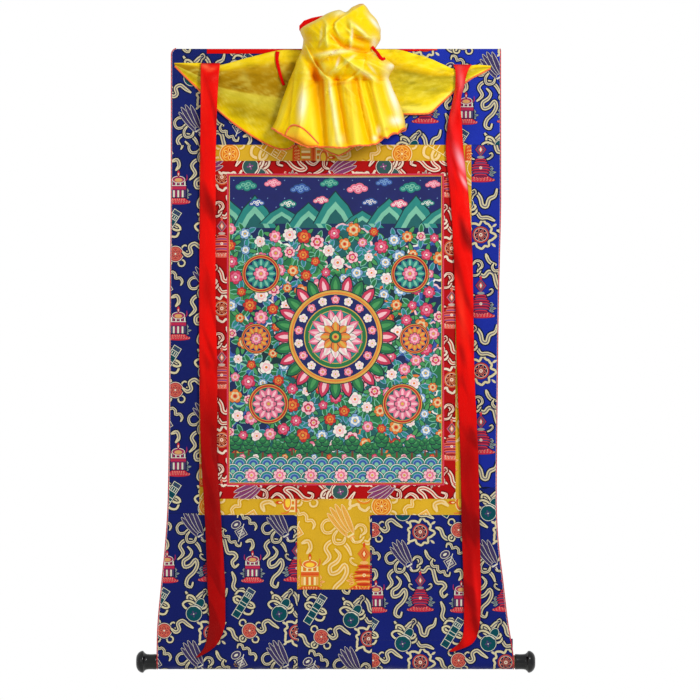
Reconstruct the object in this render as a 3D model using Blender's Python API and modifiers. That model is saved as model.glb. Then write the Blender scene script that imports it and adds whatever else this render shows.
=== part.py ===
"""A scroll painting in a brocade mount, as it hangs on a wall.

The origin is the middle of the mount's top edge, in the plane of the wall.
X runs to the viewer's right, Y into the wall and Z up. Lengths are metres,
and the tables of places give millimetres, as their column names say.
"""
import math
from collections import namedtuple

import bmesh
import bpy
from mathutils import Vector
from mathutils.bvhtree import BVHTree

MM = 0.001

# Driving dimensions
CLOTH = 0.0015                # thickness of the brocade sheets
SATIN = 0.0012                # thickness of the streamers, swags, tapes and patch
VEIL_WALL = 0.0018            # thickness of the gathered part of the veil
SEAM = 0.0003                 # gap between two pieces that are sewn together
PICTURE_WIDTH = 0.456
PICTURE_TOP = -0.2675
PICTURE_FOOT = -0.924
RED_SIDE = 0.0265             # widths of the strips of the inner frame
RED_TOP = 0.0295
RED_FOOT = 0.031
YELLOW_WIDTH = 0.034          # width of every strip of the outer frame
HEM_HEIGHT = 0.028            # the thick hem along the top edge
HEM_DEPTH = 0.006
ROD_RADIUS = 0.014
ROD_HEIGHT = -1.3005          # height of the roller's axis
FINIAL_RADIUS = 0.0233
SLEEVE_SEAM = -1.255          # where the sleeve's free edge is sewn down
SLEEVE_LEFT = -0.376          # the sleeve's two ends
SLEEVE_RIGHT = 0.377
PIPING_RADIUS = 0.0012
PATCH_LEFT = -0.081           # the door patch
PATCH_RIGHT = 0.073
PATCH_TOP = -0.9565
PATCH_FOOT = -1.1465
RIPPLE = 0.0022               # how far the hanging sheet waves
RIPPLE_ACROSS = 14.0          # its broad waves in radians a metre, and their drift down the sheet
RIPPLE_DOWN = 3.0
RIPPLE_START = 0.6
SMALL_RIPPLE_ACROSS = 31.0    # its narrow waves, half as high
SMALL_RIPPLE_DOWN = 7.0
FLARE_CURL = 0.004            # how far the flared corners come forward
FLARE_START = 0.27            # distance from the middle where they begin to, and over what width
FLARE_WIDTH = 0.1
SLEEVE_TURN = 220             # degrees that the sleeve goes round the rod
SLEEVE_LEAN = 40              # degrees that it leans back up to its seam
SLEEVE_LAP = 0.004            # how far its free edge reaches above the seam
SLEEVE_START = 0.012          # where the sleeve's first row lies above the rod's axis
PIPING_TURN = 80              # degrees that the piping follows the sleeve
HEM_BURY = 0.0004             # how far the hem's fill stays inside the sheet's edges

ROD_DEPTH = FINIAL_RADIUS + SEAM
SLEEVE_RADIUS = ROD_RADIUS + SEAM
RED_OUTER = PICTURE_WIDTH / 2 + RED_SIDE
RED_OUTER_TOP = PICTURE_TOP + RED_TOP
RED_OUTER_FOOT = PICTURE_FOOT - RED_FOOT
WINDOW_SIDE = RED_OUTER + YELLOW_WIDTH
WINDOW_TOP = RED_OUTER_TOP + YELLOW_WIDTH
WINDOW_FOOT = RED_OUTER_FOOT - YELLOW_WIDTH

# Points that carry the shapes
TOP_ROWS = (0.0, -0.004, -0.011, -0.03)
ROWS_ABOVE = 4
ROWS_BESIDE = 15
ROWS_BELOW = 8
WINDOW_COLUMNS = 8
SIDE_COLUMNS = 2
STRIP_STEP_ACROSS = 0.06
STRIP_STEP_DOWN = 0.05
SLEEVE_STEPS = 11
PIPING_STEPS = 4
ROD_SIDES = 32
FINIAL_SIDES = 24
STREAMER_ROWS = 40
STREAMER_COLUMNS = 4
SWAG_COLUMNS = 20
SWAG_ROWS = 10
PUFF_RINGS = 14
RING_FRONT = 32
RING_BACK = 12

# Outline of the mount: its left and right edge at each height
Edge = namedtuple("Edge", "z_mm left_mm right_mm")
MOUNT_EDGES = (
    Edge(0, -338, 348),
    Edge(-4, -344, 349),
    Edge(-11, -347, 349),
    Edge(-320, -347, 349),
    Edge(-530, -349, 344),
    Edge(-745, -350, 341),
    Edge(-960, -353, 339),
    Edge(-1045, -358, 343),
    Edge(-1130, -366, 353),
    Edge(-1215, -374, 363),
    Edge(-1275, -376, 373),
    Edge(-1320, -376, 377),
)

# A streamer: its two edges at each height, how far each lies before the mount,
# and how far its middle bulges towards the viewer
Band = namedtuple("Band", "z_mm left_mm right_mm left_gap_mm right_gap_mm crown_mm")
STREAMER_LEFT = (
    Band(-31, -286, -245, 5.2, 5.2, 0),
    Band(-42, -286, -246, 9, 11, 1),
    Band(-66, -286, -248, 13, 16, 2),
    Band(-130, -286, -251, 12, 15, 2),
    Band(-236, -287, -254, 7, 13, 3),
    Band(-385, -288, -254, 4, 12, 3),
    Band(-533, -289, -254, 4, 12, 3),
    Band(-703, -288, -250, 6, 7, 2),
    Band(-852, -285, -251, 10, 5, 3),
    Band(-1001, -276, -242, 11, 5, 3),
    Band(-1128, -271, -234, 7, 5, 2),
    Band(-1213, -267, -233, 5, 9, 2),
    Band(-1240, -270, -239, 4, 12, 3),
    Band(-1260, -274, -249, 3, 13, 3),
    Band(-1275, -281, -265, 3, 10, 2),
    Band(-1290, -295, -290, 3, 4, 0),
)
STREAMER_RIGHT = (
    Band(-34, 250, 289, 5.2, 5.2, 0),
    Band(-45, 254, 282, 10, 10, 3),
    Band(-62, 255, 276, 12, 12, 6),
    Band(-83, 254, 272, 13, 14, 9),
    Band(-100, 251, 267, 14, 18, 9),
    Band(-125, 246, 265, 13, 20, 7),
    Band(-151, 240, 267, 11, 18, 5),
    Band(-183, 236, 269, 8, 13, 6),
    Band(-215, 234, 271, 5, 9, 8),
    Band(-268, 239, 277, 4, 6, 7),
    Band(-321, 244, 283, 4, 5, 5),
    Band(-427, 250, 290, 4, 5, 3),
    Band(-533, 254, 292, 4, 6, 2),
    Band(-703, 258, 295, 5, 7, 2),
    Band(-852, 264, 302, 5, 5, 3),
    Band(-1001, 267, 305, 7, 4, 3),
    Band(-1171, 272, 308, 5, 6, 2),
    Band(-1225, 272, 304, 4, 9, 2),
    Band(-1250, 268, 297, 3, 11, 3),
    Band(-1264, 258, 284, 3, 10, 3),
    Band(-1278, 239, 250, 3, 5, 0),
)

# A swag of the veil: its upper and lower edge from the sewn corner to the neck,
# how far it lies before the mount, and how far its upper fold rolls forward
Swag = namedtuple("Swag", "x_up_mm z_up_mm x_low_mm z_low_mm gap_mm roll_mm")
SWAG_LEFT = (
    Swag(-343, -30, -341, -37, 0.4, 0),
    Swag(-315, -30, -315, -63, 2.2, 1),
    Swag(-288, -30, -288, -89, 2.5, 3),
    Swag(-245, -34, -250, -130, 3, 5),
    Swag(-186, -19, -197, -172, 4, 8),
    Swag(-124, -4, -139, -206, 4, 9),
    Swag(-97, -2, -107, -214, 4, 7),
    Swag(-72, -3, -84, -196, 5, 4),
    Swag(-50, -7, -54, -112, 9, 1),
    Swag(-36, -12, -38, -60, 20, 0),
    Swag(-10, -17, -10, -48, 34, 0),
)
SWAG_RIGHT = (
    Swag(331, -36, 329, -42, 0.4, 0),
    Swag(300, -34, 304, -55, 2.2, 1),
    Swag(282, -37, 284, -66, 2.5, 2),
    Swag(254, -43, 254, -89, 3, 4),
    Swag(226, -32, 225, -115, 3.5, 6),
    Swag(201, -21, 197, -138, 4, 9),
    Swag(158, -8, 158, -139, 4, 11),
    Swag(128, -1, 134, -138, 4, 8),
    Swag(104, -1, 112, -118, 6, 3),
    Swag(84, -2, 88, -66, 14, 0),
    Swag(54, -12, 54, -48, 34, 0),
)

# Folds along a swag: share of the roll, place from its upper edge to its hem, and width
Roll = namedtuple("Roll", "share fall width")
SWAG_ROLLS = (Roll(1.0, 0.2, 0.13), Roll(0.55, 0.8, 0.2), Roll(0.25, 0.5, 0.08))

# The gathered middle of the veil, from its crown to the neck above the skirt:
# width and depth of the bunch at each height, with the depth from the wall
Ring = namedtuple("Ring", "z_mm left_mm right_mm back_mm front_mm")
PUFF = (
    Ring(92, 48, 60, 34, 50),
    Ring(87, 34, 66, 26, 66),
    Ring(77, -8, 73, 16, 84),
    Ring(62, -38, 86, 12, 95),
    Ring(40, -75, 96, 11, 104),
    Ring(19, -69, 95, 11, 106),
    Ring(4, -70, 87, 12, 99),
    Ring(-8, -74, 82, 15, 88),
    Ring(-22, -80, 106, 26, 92),
    Ring(-38, -86, 125, 26, 98),
    Ring(-53, -92, 117, 26, 93),
    Ring(-63, -96, 113, 26, 80),
    Ring(-70, -99, 116, 26, 74),
)
# The skirt, from the neck to its hem; part is 0 at the neck and 1 at the hem
Flare = namedtuple("Flare", "part left_mm right_mm back_mm front_mm")
SKIRT = (
    Flare(0.0, -99, 116, 26, 74),
    Flare(0.15, -105, 122, 26, 77),
    Flare(0.35, -113, 132, 26.5, 82),
    Flare(0.6, -121, 142, 27, 87),
    Flare(0.8, -127, 147, 27.5, 92),
    Flare(1.0, -135, 149, 28, 97),
)
Hem = namedtuple("Hem", "x_mm front_z_mm back_z_mm")
SKIRT_HEM = (
    Hem(-135, -170, -170),
    Hem(-99, -193, -186),
    Hem(-58, -212, -203),
    Hem(-30, -211, -212),
    Hem(10, -214, -228),
    Hem(41, -210, -207),
    Hem(82, -206, -199),
    Hem(116, -190, -184),
    Hem(149, -174, -174),
)
SKIRT_RINGS = (0.1, 0.25, 0.42, 0.6, 0.8, 1.0)    # parts of the way down with a ring of points
# Folds of the gathered part as straight creases seen from the front; a height
# above 0 stands towards the viewer, and one below 0 sinks in
Crease = namedtuple("Crease", "x0_mm z0_mm x1_mm z1_mm height_mm width_mm")
CREASES = (
    Crease(58, 91, 95, 36, 7, 9),
    Crease(39, 42, 69, 17, 10, 9),
    Crease(33, 40, 33, 6, 6, 7),
    Crease(37, 19, 65, 11, -11, 9),
    Crease(-18, 32, -16, 4, 6, 8),
    Crease(-7, 15, 61, -15, -9, 9),
    Crease(-31, -19, 35, -8, 9, 9),
    Crease(27, -30, 85, -70, 8, 8),
    Crease(27, -30, 0, -50, 7, 8),
    Crease(-70, 40, -20, 74, 5, 14),
    Crease(-42, -40, -24, -205, -20, 12),
    Crease(-66, -70, -75, -190, 10, 14),
    Crease(-5, -78, 12, -200, 9, 8),
    Crease(2, -78, 22, -200, -15, 9),
    Crease(24, -80, 45, -205, 7, 14),
    Crease(43, -76, 69, -195, -15, 9),
    Crease(62, -76, 90, -190, -11, 8),
    Crease(80, -78, 108, -190, 9, 10),
    Crease(98, -76, 130, -178, -10, 9),
    Crease(-72, -4, -46, -56, -12, 9),
)
CREASE_END_MM = 14.0          # over how far a crease dies out past its ends
SWELL_POWER = 0.8             # roundness of the bunch from side to side, 0.5 being an ellipse's
SIDE_FADE = 1.6               # how soon the creases set in from the sides of the bunch
BACK_BOW_MM = 1.5             # how far the back of the bunch bows towards the wall

# The ties of the bunch: middle line and width of each, from top to free end
Tie = namedtuple("Tie", "x_mm z_mm width_mm")
TIE_LEFT = (
    Tie(-123, -6, 6),
    Tie(-122, -14, 6),
    Tie(-121, -22, 6),
    Tie(-120, -30, 6),
    Tie(-118, -38, 6),
    Tie(-116.5, -46, 6),
    Tie(-115, -54, 6),
    Tie(-113, -62, 6),
    Tie(-111, -70, 6),
    Tie(-109, -78, 6),
)
TIE_RIGHT = (
    Tie(77, 1, 7),
    Tie(82, -5, 7),
    Tie(87, -11, 7),
    Tie(91, -17, 7),
    Tie(95, -23, 7),
    Tie(100, -26, 6),
    Tie(105, -24, 5),
)
TIE_LIFT = 0.0008             # how far a tie lies before the cloth under it

# Outline of the tape on the top hem, with the loop that stands behind the puff
Corner = namedtuple("Corner", "x_mm z_mm")
TAPE_OUTLINE = (
    Corner(-273, -10), Corner(-273, -0.5), Corner(-66, -0.5), Corner(-66, 14), Corner(-69, 28),
    Corner(-77, 40), Corner(-77, 49), Corner(-67, 60), Corner(-50, 66), Corner(-30, 70), Corner(0, 73),
    Corner(30, 70), Corner(56, 59), Corner(74, 42), Corner(78, 20), Corner(76, -0.5),
    Corner(216, -0.5), Corner(216, -3), Corner(90, -8), Corner(-60, -10),
)
TAPE_LOOP = (
    Corner(-58, 2), Corner(-58, 14), Corner(-60, 26), Corner(-66, 38), Corner(-65, 45), Corner(-57, 52),
    Corner(-44, 57), Corner(-27, 61), Corner(0, 63), Corner(26, 60), Corner(48, 51),
    Corner(63, 38), Corner(68, 20), Corner(67, 2),
)

# The turned end: radius at each distance from the rod
Turn = namedtuple("Turn", "along_mm radius_mm")
FINIAL = (
    Turn(43.0, 0.0),
    Turn(43.0, 9.0),
    Turn(42.0, 13.0),
    Turn(39.5, 17.5),
    Turn(36.0, 21.0),
    Turn(32.0, 23.0),
    Turn(29.5, 23.3),
    Turn(27.6, 22.4),
    Turn(25.6, 19.8),
    Turn(22.6, 17.4),
    Turn(19.0, 16.4),
    Turn(10.0, 16.0),
    Turn(2.0, 16.4),
    Turn(0.0, 15.8),
    Turn(0.0, 0.0),
)

Material = namedtuple("Material", "colour roughness metallic")
MATERIALS = {
    "blue": Material((0.016, 0.025, 0.24), 0.45, 0.0),
    "yellow": Material((0.72, 0.48, 0.02), 0.45, 0.0),
    "crimson": Material((0.42, 0.006, 0.012), 0.45, 0.0),
    "picture": Material((0.05, 0.2, 0.2), 0.8, 0.0),
    "silk": Material((0.95, 0.66, 0.005), 0.35, 0.0),
    "satin": Material((0.72, 0.004, 0.003), 0.3, 0.0),
    "lacquer": Material((0.008, 0.008, 0.009), 0.2, 0.0),
    "timber": Material((0.35, 0.2, 0.1), 0.6, 0.0),
}


def remove_scene_objects():
    """Start from an empty scene."""
    for obj in list(bpy.data.objects):
        bpy.data.objects.remove(obj, do_unlink=True)


def new_collection(name):
    """A collection of the scene."""
    collection = bpy.data.collections.new(name)
    bpy.context.scene.collection.children.link(collection)
    return collection


def finish_of(name):
    """The material of one of the object's cloths, made once."""
    material = bpy.data.materials.get(name)
    if material is None:
        values = MATERIALS[name]
        material = bpy.data.materials.new(name)
        material.use_nodes = True
        shader = material.node_tree.nodes["Principled BSDF"]
        shader.inputs["Base Color"].default_value = (*values.colour, 1.0)
        shader.inputs["Roughness"].default_value = values.roughness
        shader.inputs["Metallic"].default_value = values.metallic
    return material


def add_part(name, data, material, collection):
    """One sub-part, with its own copy of its cloth's material."""
    own = finish_of(material).copy()
    own.name = name + "_finish"
    data.materials.append(own)
    obj = bpy.data.objects.new(name, data)
    collection.objects.link(obj)
    return obj


def at_table(rows, place, key, value):
    """A column's value at a place along another column, eased between rows."""
    keys = [getattr(row, key) for row in rows]
    values = [getattr(row, value) for row in rows]
    if keys[0] > keys[-1]:
        keys = keys[::-1]
        values = values[::-1]
    place = min(max(place, keys[0]), keys[-1])
    index = 0
    while index < len(keys) - 2 and place > keys[index + 1]:
        index += 1
    step = keys[index + 1] - keys[index]
    rise = values[index + 1] - values[index]
    slopes = []
    for knot in (index, index + 1):
        before = max(knot - 1, 0)
        after = min(knot + 1, len(keys) - 1)
        slope = (values[after] - values[before]) / (keys[after] - keys[before])
        slopes.append(step * slope if slope * rise > 0 else 0.0)
    limit = 3 * abs(rise)
    start, end = (max(-limit, min(limit, slope)) for slope in slopes)
    t = (place - keys[index]) / step
    return (values[index] * (2 * t**3 - 3 * t**2 + 1) + start * (t**3 - 2 * t**2 + t)
            + values[index + 1] * (3 * t**2 - 2 * t**3) + end * (t**3 - t**2))


def edge_at(z, side):
    """Left or right edge of the mount at a height, in metres."""
    return at_table(MOUNT_EDGES, z / MM, "z_mm", side + "_mm") * MM


def back_of_mount(x, z):
    """Depth of the hanging sheet's back before the wall at a place."""
    straight = HEM_DEPTH - CLOTH
    if z > -HEM_HEIGHT:
        return straight
    drop = (z + HEM_HEIGHT) / (ROD_HEIGHT + HEM_HEIGHT)
    lean = straight + (ROD_DEPTH + SLEEVE_RADIUS - straight) * drop
    swell = math.sin(math.pi * min(drop, 1.0)) ** 2
    wave = RIPPLE * math.sin(RIPPLE_ACROSS * x + RIPPLE_DOWN * drop + RIPPLE_START)
    wave += 0.5 * RIPPLE * math.cos(SMALL_RIPPLE_ACROSS * x - SMALL_RIPPLE_DOWN * drop)
    side = min(1.0, max(0.0, (abs(x) - FLARE_START) / FLARE_WIDTH))
    return lean + swell * (wave + FLARE_CURL * side * side)


def front_of_mount(x, z):
    """Depth of the hanging sheet's front before the wall."""
    return back_of_mount(x, z) + CLOTH


def spaced(start, end, count):
    """Evenly spaced places from start to end."""
    return [start + (end - start) * index / count for index in range(count + 1)]


def grid_mesh(name, rows, is_hole=None):
    """A mesh of quads through rows of points; rows go down and points go right."""
    mesh = bpy.data.meshes.new(name)
    built = bmesh.new()
    grid = [[built.verts.new(point) for point in row] for row in rows]
    for r in range(len(rows) - 1):
        for c in range(len(rows[r]) - 1):
            if is_hole is None or not is_hole(r, c):
                built.faces.new((grid[r][c], grid[r + 1][c], grid[r + 1][c + 1], grid[r][c + 1]))
    loose = [vert for vert in built.verts if not vert.link_faces]
    bmesh.ops.delete(built, geom=loose, context="VERTS")
    built.to_mesh(mesh)
    built.free()
    mesh.shade_smooth()
    return mesh


def thicken(obj, thickness):
    """Turn an open sheet into a closed one that grows towards the viewer."""
    solid = obj.modifiers.new("thickness", "SOLIDIFY")
    solid.thickness = thickness
    solid.offset = 1.0
    solid.use_rim = True
    return obj


def flat_sheet(name, material, collection, box, lift, thickness):
    """A rectangle of cloth that hangs with the mount; box is left, right, top, foot."""
    left, right, top, foot = box
    across = spaced(left, right, max(1, round((right - left) / STRIP_STEP_ACROSS)))
    down = spaced(top, foot, max(1, round((top - foot) / STRIP_STEP_DOWN)))
    rows = [[(x, -back_of_mount(x, z) - lift, z) for x in across] for z in down]
    sheet = add_part(name, grid_mesh(name, rows), material, collection)
    return thicken(sheet, thickness)


def mount_columns(z):
    """Places across the mount at a height, with its window's sides kept straight."""
    window = spaced(-WINDOW_SIDE, WINDOW_SIDE, WINDOW_COLUMNS)
    left = spaced(edge_at(z, "left"), -WINDOW_SIDE, SIDE_COLUMNS)
    right = spaced(WINDOW_SIDE, edge_at(z, "right"), SIDE_COLUMNS)
    return left[:-1] + window + right[1:]


def sleeve_path():
    """Inner side of the sleeve: down before the rod, round it, and up to its seam."""
    path = []
    for angle in spaced(0.0, math.radians(SLEEVE_TURN), SLEEVE_STEPS):
        path.append((ROD_DEPTH + SLEEVE_RADIUS * math.cos(angle),
                     ROD_HEIGHT - SLEEVE_RADIUS * math.sin(angle)))
    depth, height = path[-1]
    front = back_of_mount(0.0, SLEEVE_SEAM) - SEAM - CLOTH
    turn = math.radians(SLEEVE_LEAN)
    reach = (front - depth) / math.sin(turn)
    knee = height + reach * math.cos(turn)
    path.append((depth + 0.5 * (front - depth), 0.5 * (height + knee)))
    path.append((front - 2 * SEAM, knee - 2 * SEAM))
    path.append((front, SLEEVE_SEAM + SLEEVE_LAP))
    return path


def mount_heights():
    """Heights of the rows of the hanging sheet, in three stretches split at the window."""
    above = list(TOP_ROWS) + spaced(TOP_ROWS[-1], WINDOW_TOP, ROWS_ABOVE)[1:]
    beside = spaced(WINDOW_TOP, WINDOW_FOOT, ROWS_BESIDE)[1:]
    below = spaced(WINDOW_FOOT, ROD_HEIGHT + SLEEVE_START, ROWS_BELOW)[1:]
    return above, beside, below


def build_mount(collection):
    """The brocade sheet with its window, top hem and roller sleeve."""
    above, beside, below = mount_heights()
    first_window_row = len(above) - 1
    last_window_row = first_window_row + len(beside)
    rows = []
    for z in above + beside + below:
        rows.append([(x, -back_of_mount(x, z), z) for x in mount_columns(z)])
    for depth, height in sleeve_path():
        rows.append([(x, -depth, height) for x in mount_columns(ROD_HEIGHT)])

    def in_window(row, column):
        beside_row = first_window_row <= row < last_window_row
        return beside_row and SIDE_COLUMNS <= column < SIDE_COLUMNS + WINDOW_COLUMNS

    sheet = add_part("blue_mount", grid_mesh("blue_mount", rows, in_window), "blue", collection)
    thicken(sheet, CLOTH)
    left = MOUNT_EDGES[0].left_mm * MM + HEM_BURY
    right = MOUNT_EDGES[0].right_mm * MM - HEM_BURY
    bpy.ops.mesh.primitive_cube_add(size=1.0)
    hem = bpy.context.object
    hem.name = "top_hem_fill"
    hem.dimensions = (right - left, HEM_DEPTH - HEM_BURY, HEM_HEIGHT - HEM_BURY)
    hem.location = ((left + right) / 2, -(HEM_DEPTH - HEM_BURY) / 2, -(HEM_HEIGHT + HEM_BURY) / 2)
    hide_cutter(hem)
    join = sheet.modifiers.new("top_hem", "BOOLEAN")
    join.operation = "UNION"
    join.object = hem
    return sheet


def hide_cutter(obj):
    """Keep a helper shape out of the finished object."""
    for collection in list(obj.users_collection):
        collection.objects.unlink(obj)
    bpy.data.collections["cutters"].objects.link(obj)
    obj.hide_render = True
    obj.display_type = "WIRE"


def build_frames(collection):
    """The picture, its crimson frame, the yellow frame and the door patch."""
    half = PICTURE_WIDTH / 2
    picture = (-half + SEAM, half - SEAM, PICTURE_TOP - SEAM, PICTURE_FOOT + SEAM)
    flat_sheet("painting_panel", "picture", collection, picture, 0.0, SATIN)
    frames = (
        ("red_border", "crimson", half, RED_OUTER, PICTURE_TOP, PICTURE_FOOT,
         RED_OUTER_TOP, RED_OUTER_FOOT),
        ("yellow_border", "yellow", RED_OUTER, WINDOW_SIDE, RED_OUTER_TOP, RED_OUTER_FOOT,
         WINDOW_TOP, WINDOW_FOOT),
    )
    for name, material, inner, outer, top, foot, outer_top, outer_foot in frames:
        strips = {
            "top": (-outer + SEAM, outer - SEAM, outer_top - SEAM, top),
            "bottom": (-outer + SEAM, outer - SEAM, foot, outer_foot + SEAM),
            "left": (-outer + SEAM, -inner, top - SEAM, foot + SEAM),
            "right": (inner, outer - SEAM, top - SEAM, foot + SEAM),
        }
        for side, box in strips.items():
            flat_sheet(name + "_" + side, material, collection, box, 0.0, CLOTH)
    patch = (PATCH_LEFT, PATCH_RIGHT, PATCH_TOP, PATCH_FOOT)
    flat_sheet("door_patch", "yellow", collection, patch, CLOTH + SEAM, SATIN)


def build_piping(collection):
    """A thin red cord along each side of the mount, down round the sleeve."""
    lift = PIPING_RADIUS + SEAM
    above, beside, below = mount_heights()
    for side, sign in (("left", -1), ("right", 1)):
        edge = [(edge_at(z, side), z) for z in above + beside + below]
        path = []
        for index, (x, z) in enumerate(edge):
            before = edge[max(index - 1, 0)]
            after = edge[min(index + 1, len(edge) - 1)]
            run = (after[0] - before[0], after[1] - before[1])
            out = sign * lift / math.hypot(*run)
            path.append((x - run[1] * out, -back_of_mount(x, z) - CLOTH / 2, z + run[0] * out))
        for angle in spaced(0.0, math.radians(PIPING_TURN), PIPING_STEPS):
            radius = SLEEVE_RADIUS + PIPING_RADIUS
            path.append((edge_at(ROD_HEIGHT, side) + sign * lift,
                         -ROD_DEPTH - radius * math.cos(angle),
                         ROD_HEIGHT - radius * math.sin(angle)))
        add_cord("edge_piping_" + side, path, PIPING_RADIUS, "satin", collection)


def add_cord(name, path, radius, material, collection):
    """A round cord through a list of points."""
    curve = bpy.data.curves.new(name, "CURVE")
    curve.dimensions = "3D"
    curve.bevel_depth = radius
    curve.bevel_resolution = 1
    curve.use_fill_caps = True
    spline = curve.splines.new("POLY")
    spline.points.add(len(path) - 1)
    for point, place in zip(spline.points, path):
        point.co = (*place, 1.0)
    return add_part(name, curve, material, collection)


def build_roller(collection):
    """The rod inside the sleeve and the two turned ends."""
    shoulder = 2 * (PIPING_RADIUS + SEAM) + SEAM
    left = SLEEVE_LEFT - shoulder
    right = SLEEVE_RIGHT + shoulder
    bpy.ops.mesh.primitive_cylinder_add(vertices=ROD_SIDES, radius=ROD_RADIUS, depth=right - left - 2 * SEAM)
    rod = bpy.context.object
    rod.name = "roller_rod"
    rod.rotation_euler = (0.0, math.radians(90), 0.0)
    rod.location = ((left + right) / 2, -ROD_DEPTH, ROD_HEIGHT)
    rod.data.shade_smooth()
    rod.data.set_sharp_from_angle(angle=math.radians(40))
    own = finish_of("timber").copy()
    own.name = "roller_rod_finish"
    rod.data.materials.append(own)
    for holder in list(rod.users_collection):
        holder.objects.unlink(rod)
    collection.objects.link(rod)
    build_finial("finial_left", left, -90, collection)
    build_finial("finial_right", right, 90, collection)


def build_finial(name, start, turn, collection):
    """A turned end; its axis is local Z, laid along X by the turn."""
    mesh = bpy.data.meshes.new(name)
    points = [(row.radius_mm * MM, 0.0, row.along_mm * MM) for row in FINIAL]
    edges = [(index, index + 1) for index in range(len(points) - 1)]
    mesh.from_pydata(points, edges, [])
    obj = add_part(name, mesh, "lacquer", collection)
    obj.location = (start, -ROD_DEPTH, ROD_HEIGHT)
    obj.rotation_euler = (0.0, math.radians(turn), 0.0)
    screw = obj.modifiers.new("turning", "SCREW")
    screw.axis = "Z"
    screw.steps = FINIAL_SIDES
    screw.render_steps = FINIAL_SIDES
    screw.use_merge_vertices = True
    screw.merge_threshold = 0.0001
    screw.use_smooth_shade = True
    return obj


def build_streamers(collection):
    """The two satin ribbons that hang over the front."""
    for name, rows in (("streamer_left", STREAMER_LEFT), ("streamer_right", STREAMER_RIGHT)):
        top = rows[0].z_mm
        foot = rows[-1].z_mm
        grid = []
        for height in spaced(top, foot, STREAMER_ROWS):
            left, right, left_gap, right_gap, crown = (
                at_table(rows, height, "z_mm", key)
                for key in ("left_mm", "right_mm", "left_gap_mm", "right_gap_mm", "crown_mm"))
            line = []
            for part in spaced(0.0, 1.0, STREAMER_COLUMNS):
                x = (left + (right - left) * part) * MM
                gap = left_gap + (right_gap - left_gap) * part
                gap += crown * math.sin(math.pi * part)
                line.append((x, -front_of_mount(x, height * MM) - gap * MM, height * MM))
            grid.append(line)
        sheet = add_part(name, grid_mesh(name, grid), "satin", collection)
        thicken(sheet, SATIN)


def swag_mesh(name, rows):
    """One side of the veil, from its sewn corner to the neck of the gathers."""
    Keyed = namedtuple("Keyed", "part " + " ".join(Swag._fields))
    table = [Keyed(index / (len(rows) - 1), *row) for index, row in enumerate(rows)]
    columns = []
    for part in spaced(0.0, 1.0, SWAG_COLUMNS):
        x_up, z_up, x_low, z_low, gap, roll = (
            at_table(table, part, "part", key) * MM for key in Swag._fields)
        column = []
        for fall in spaced(0.0, 1.0, SWAG_ROWS):
            x = x_up + (x_low - x_up) * fall
            z = z_up + (z_low - z_up) * fall
            fold = sum(row.share * math.exp(-((fall - row.fall) / row.width) ** 2) for row in SWAG_ROLLS)
            column.append((x, -front_of_mount(x, min(z, 0.0)) - gap - roll * fold, z))
        columns.append(column)
    if rows[0].x_up_mm > 0:
        columns.reverse()
    grid = [[column[index] for column in columns] for index in range(SWAG_ROWS + 1)]
    return grid_mesh(name, grid)


def crease_depth(x, z):
    """How far the folds move the gathered cloth towards the viewer, in mm."""
    total = 0.0
    for fold in CREASES:
        run = (fold.x1_mm - fold.x0_mm, fold.z1_mm - fold.z0_mm)
        length = math.hypot(*run)
        offset = (x - fold.x0_mm, z - fold.z0_mm)
        along = (offset[0] * run[0] + offset[1] * run[1]) / length
        aside = (offset[0] * run[1] - offset[1] * run[0]) / length
        beyond = max(0.0, -along, along - length)
        total += fold.height_mm * math.exp(-(aside / fold.width_mm) ** 2 - (beyond / CREASE_END_MM) ** 2)
    return total


def gather_ring(left, right, back, front, heights, inset):
    """One closed ring of the gathered cloth, with a round front and a flat back."""
    ring = []
    middle = (left + right) / 2
    half = (right - left) / 2 - inset
    for part in spaced(0.0, 1.0, RING_FRONT):
        x = middle - half * math.cos(math.pi * part)
        z = heights(x)[0]
        swell = math.sin(math.pi * part)
        depth = back + inset + (front - back - 2 * inset) * swell ** SWELL_POWER
        depth += crease_depth(x, z) * min(1.0, SIDE_FADE * swell)
        ring.append((x * MM, -max(depth, back + inset) * MM, z * MM))
    for part in spaced(0.0, 1.0, RING_BACK)[1:-1]:
        x = middle + half * math.cos(math.pi * part)
        z = heights(x)[1]
        ring.append((x * MM, -(back + inset - BACK_BOW_MM * math.sin(math.pi * part)) * MM, z * MM))
    return ring


def puff_rings():
    """Rings of the bunch, from its crown down to the neck."""
    rings = []
    for z in spaced(PUFF[0].z_mm, PUFF[-1].z_mm, PUFF_RINGS - 1):
        left, right, back, front = (
            at_table(PUFF, z, "z_mm", key) for key in ("left_mm", "right_mm", "back_mm", "front_mm"))
        rings.append(gather_ring(left, right, back, front, lambda x, z=z: (z, z), 0.0))
    return rings


def skirt_rings(inset):
    """Rings of the skirt below the neck; an inset gives its inner side."""
    rings = []
    neck = PUFF[-1].z_mm

    def heights_at(part):
        def heights(x):
            front = at_table(SKIRT_HEM, x, "x_mm", "front_z_mm")
            back = at_table(SKIRT_HEM, x, "x_mm", "back_z_mm")
            return neck + (front - neck) * part, neck + (back - neck) * part
        return heights

    for part in SKIRT_RINGS:
        left, right, back, front = (
            at_table(SKIRT, part, "part", key)
            for key in ("left_mm", "right_mm", "back_mm", "front_mm"))
        rings.append(gather_ring(left, right, back, front, heights_at(part), inset))
    return rings


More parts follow.
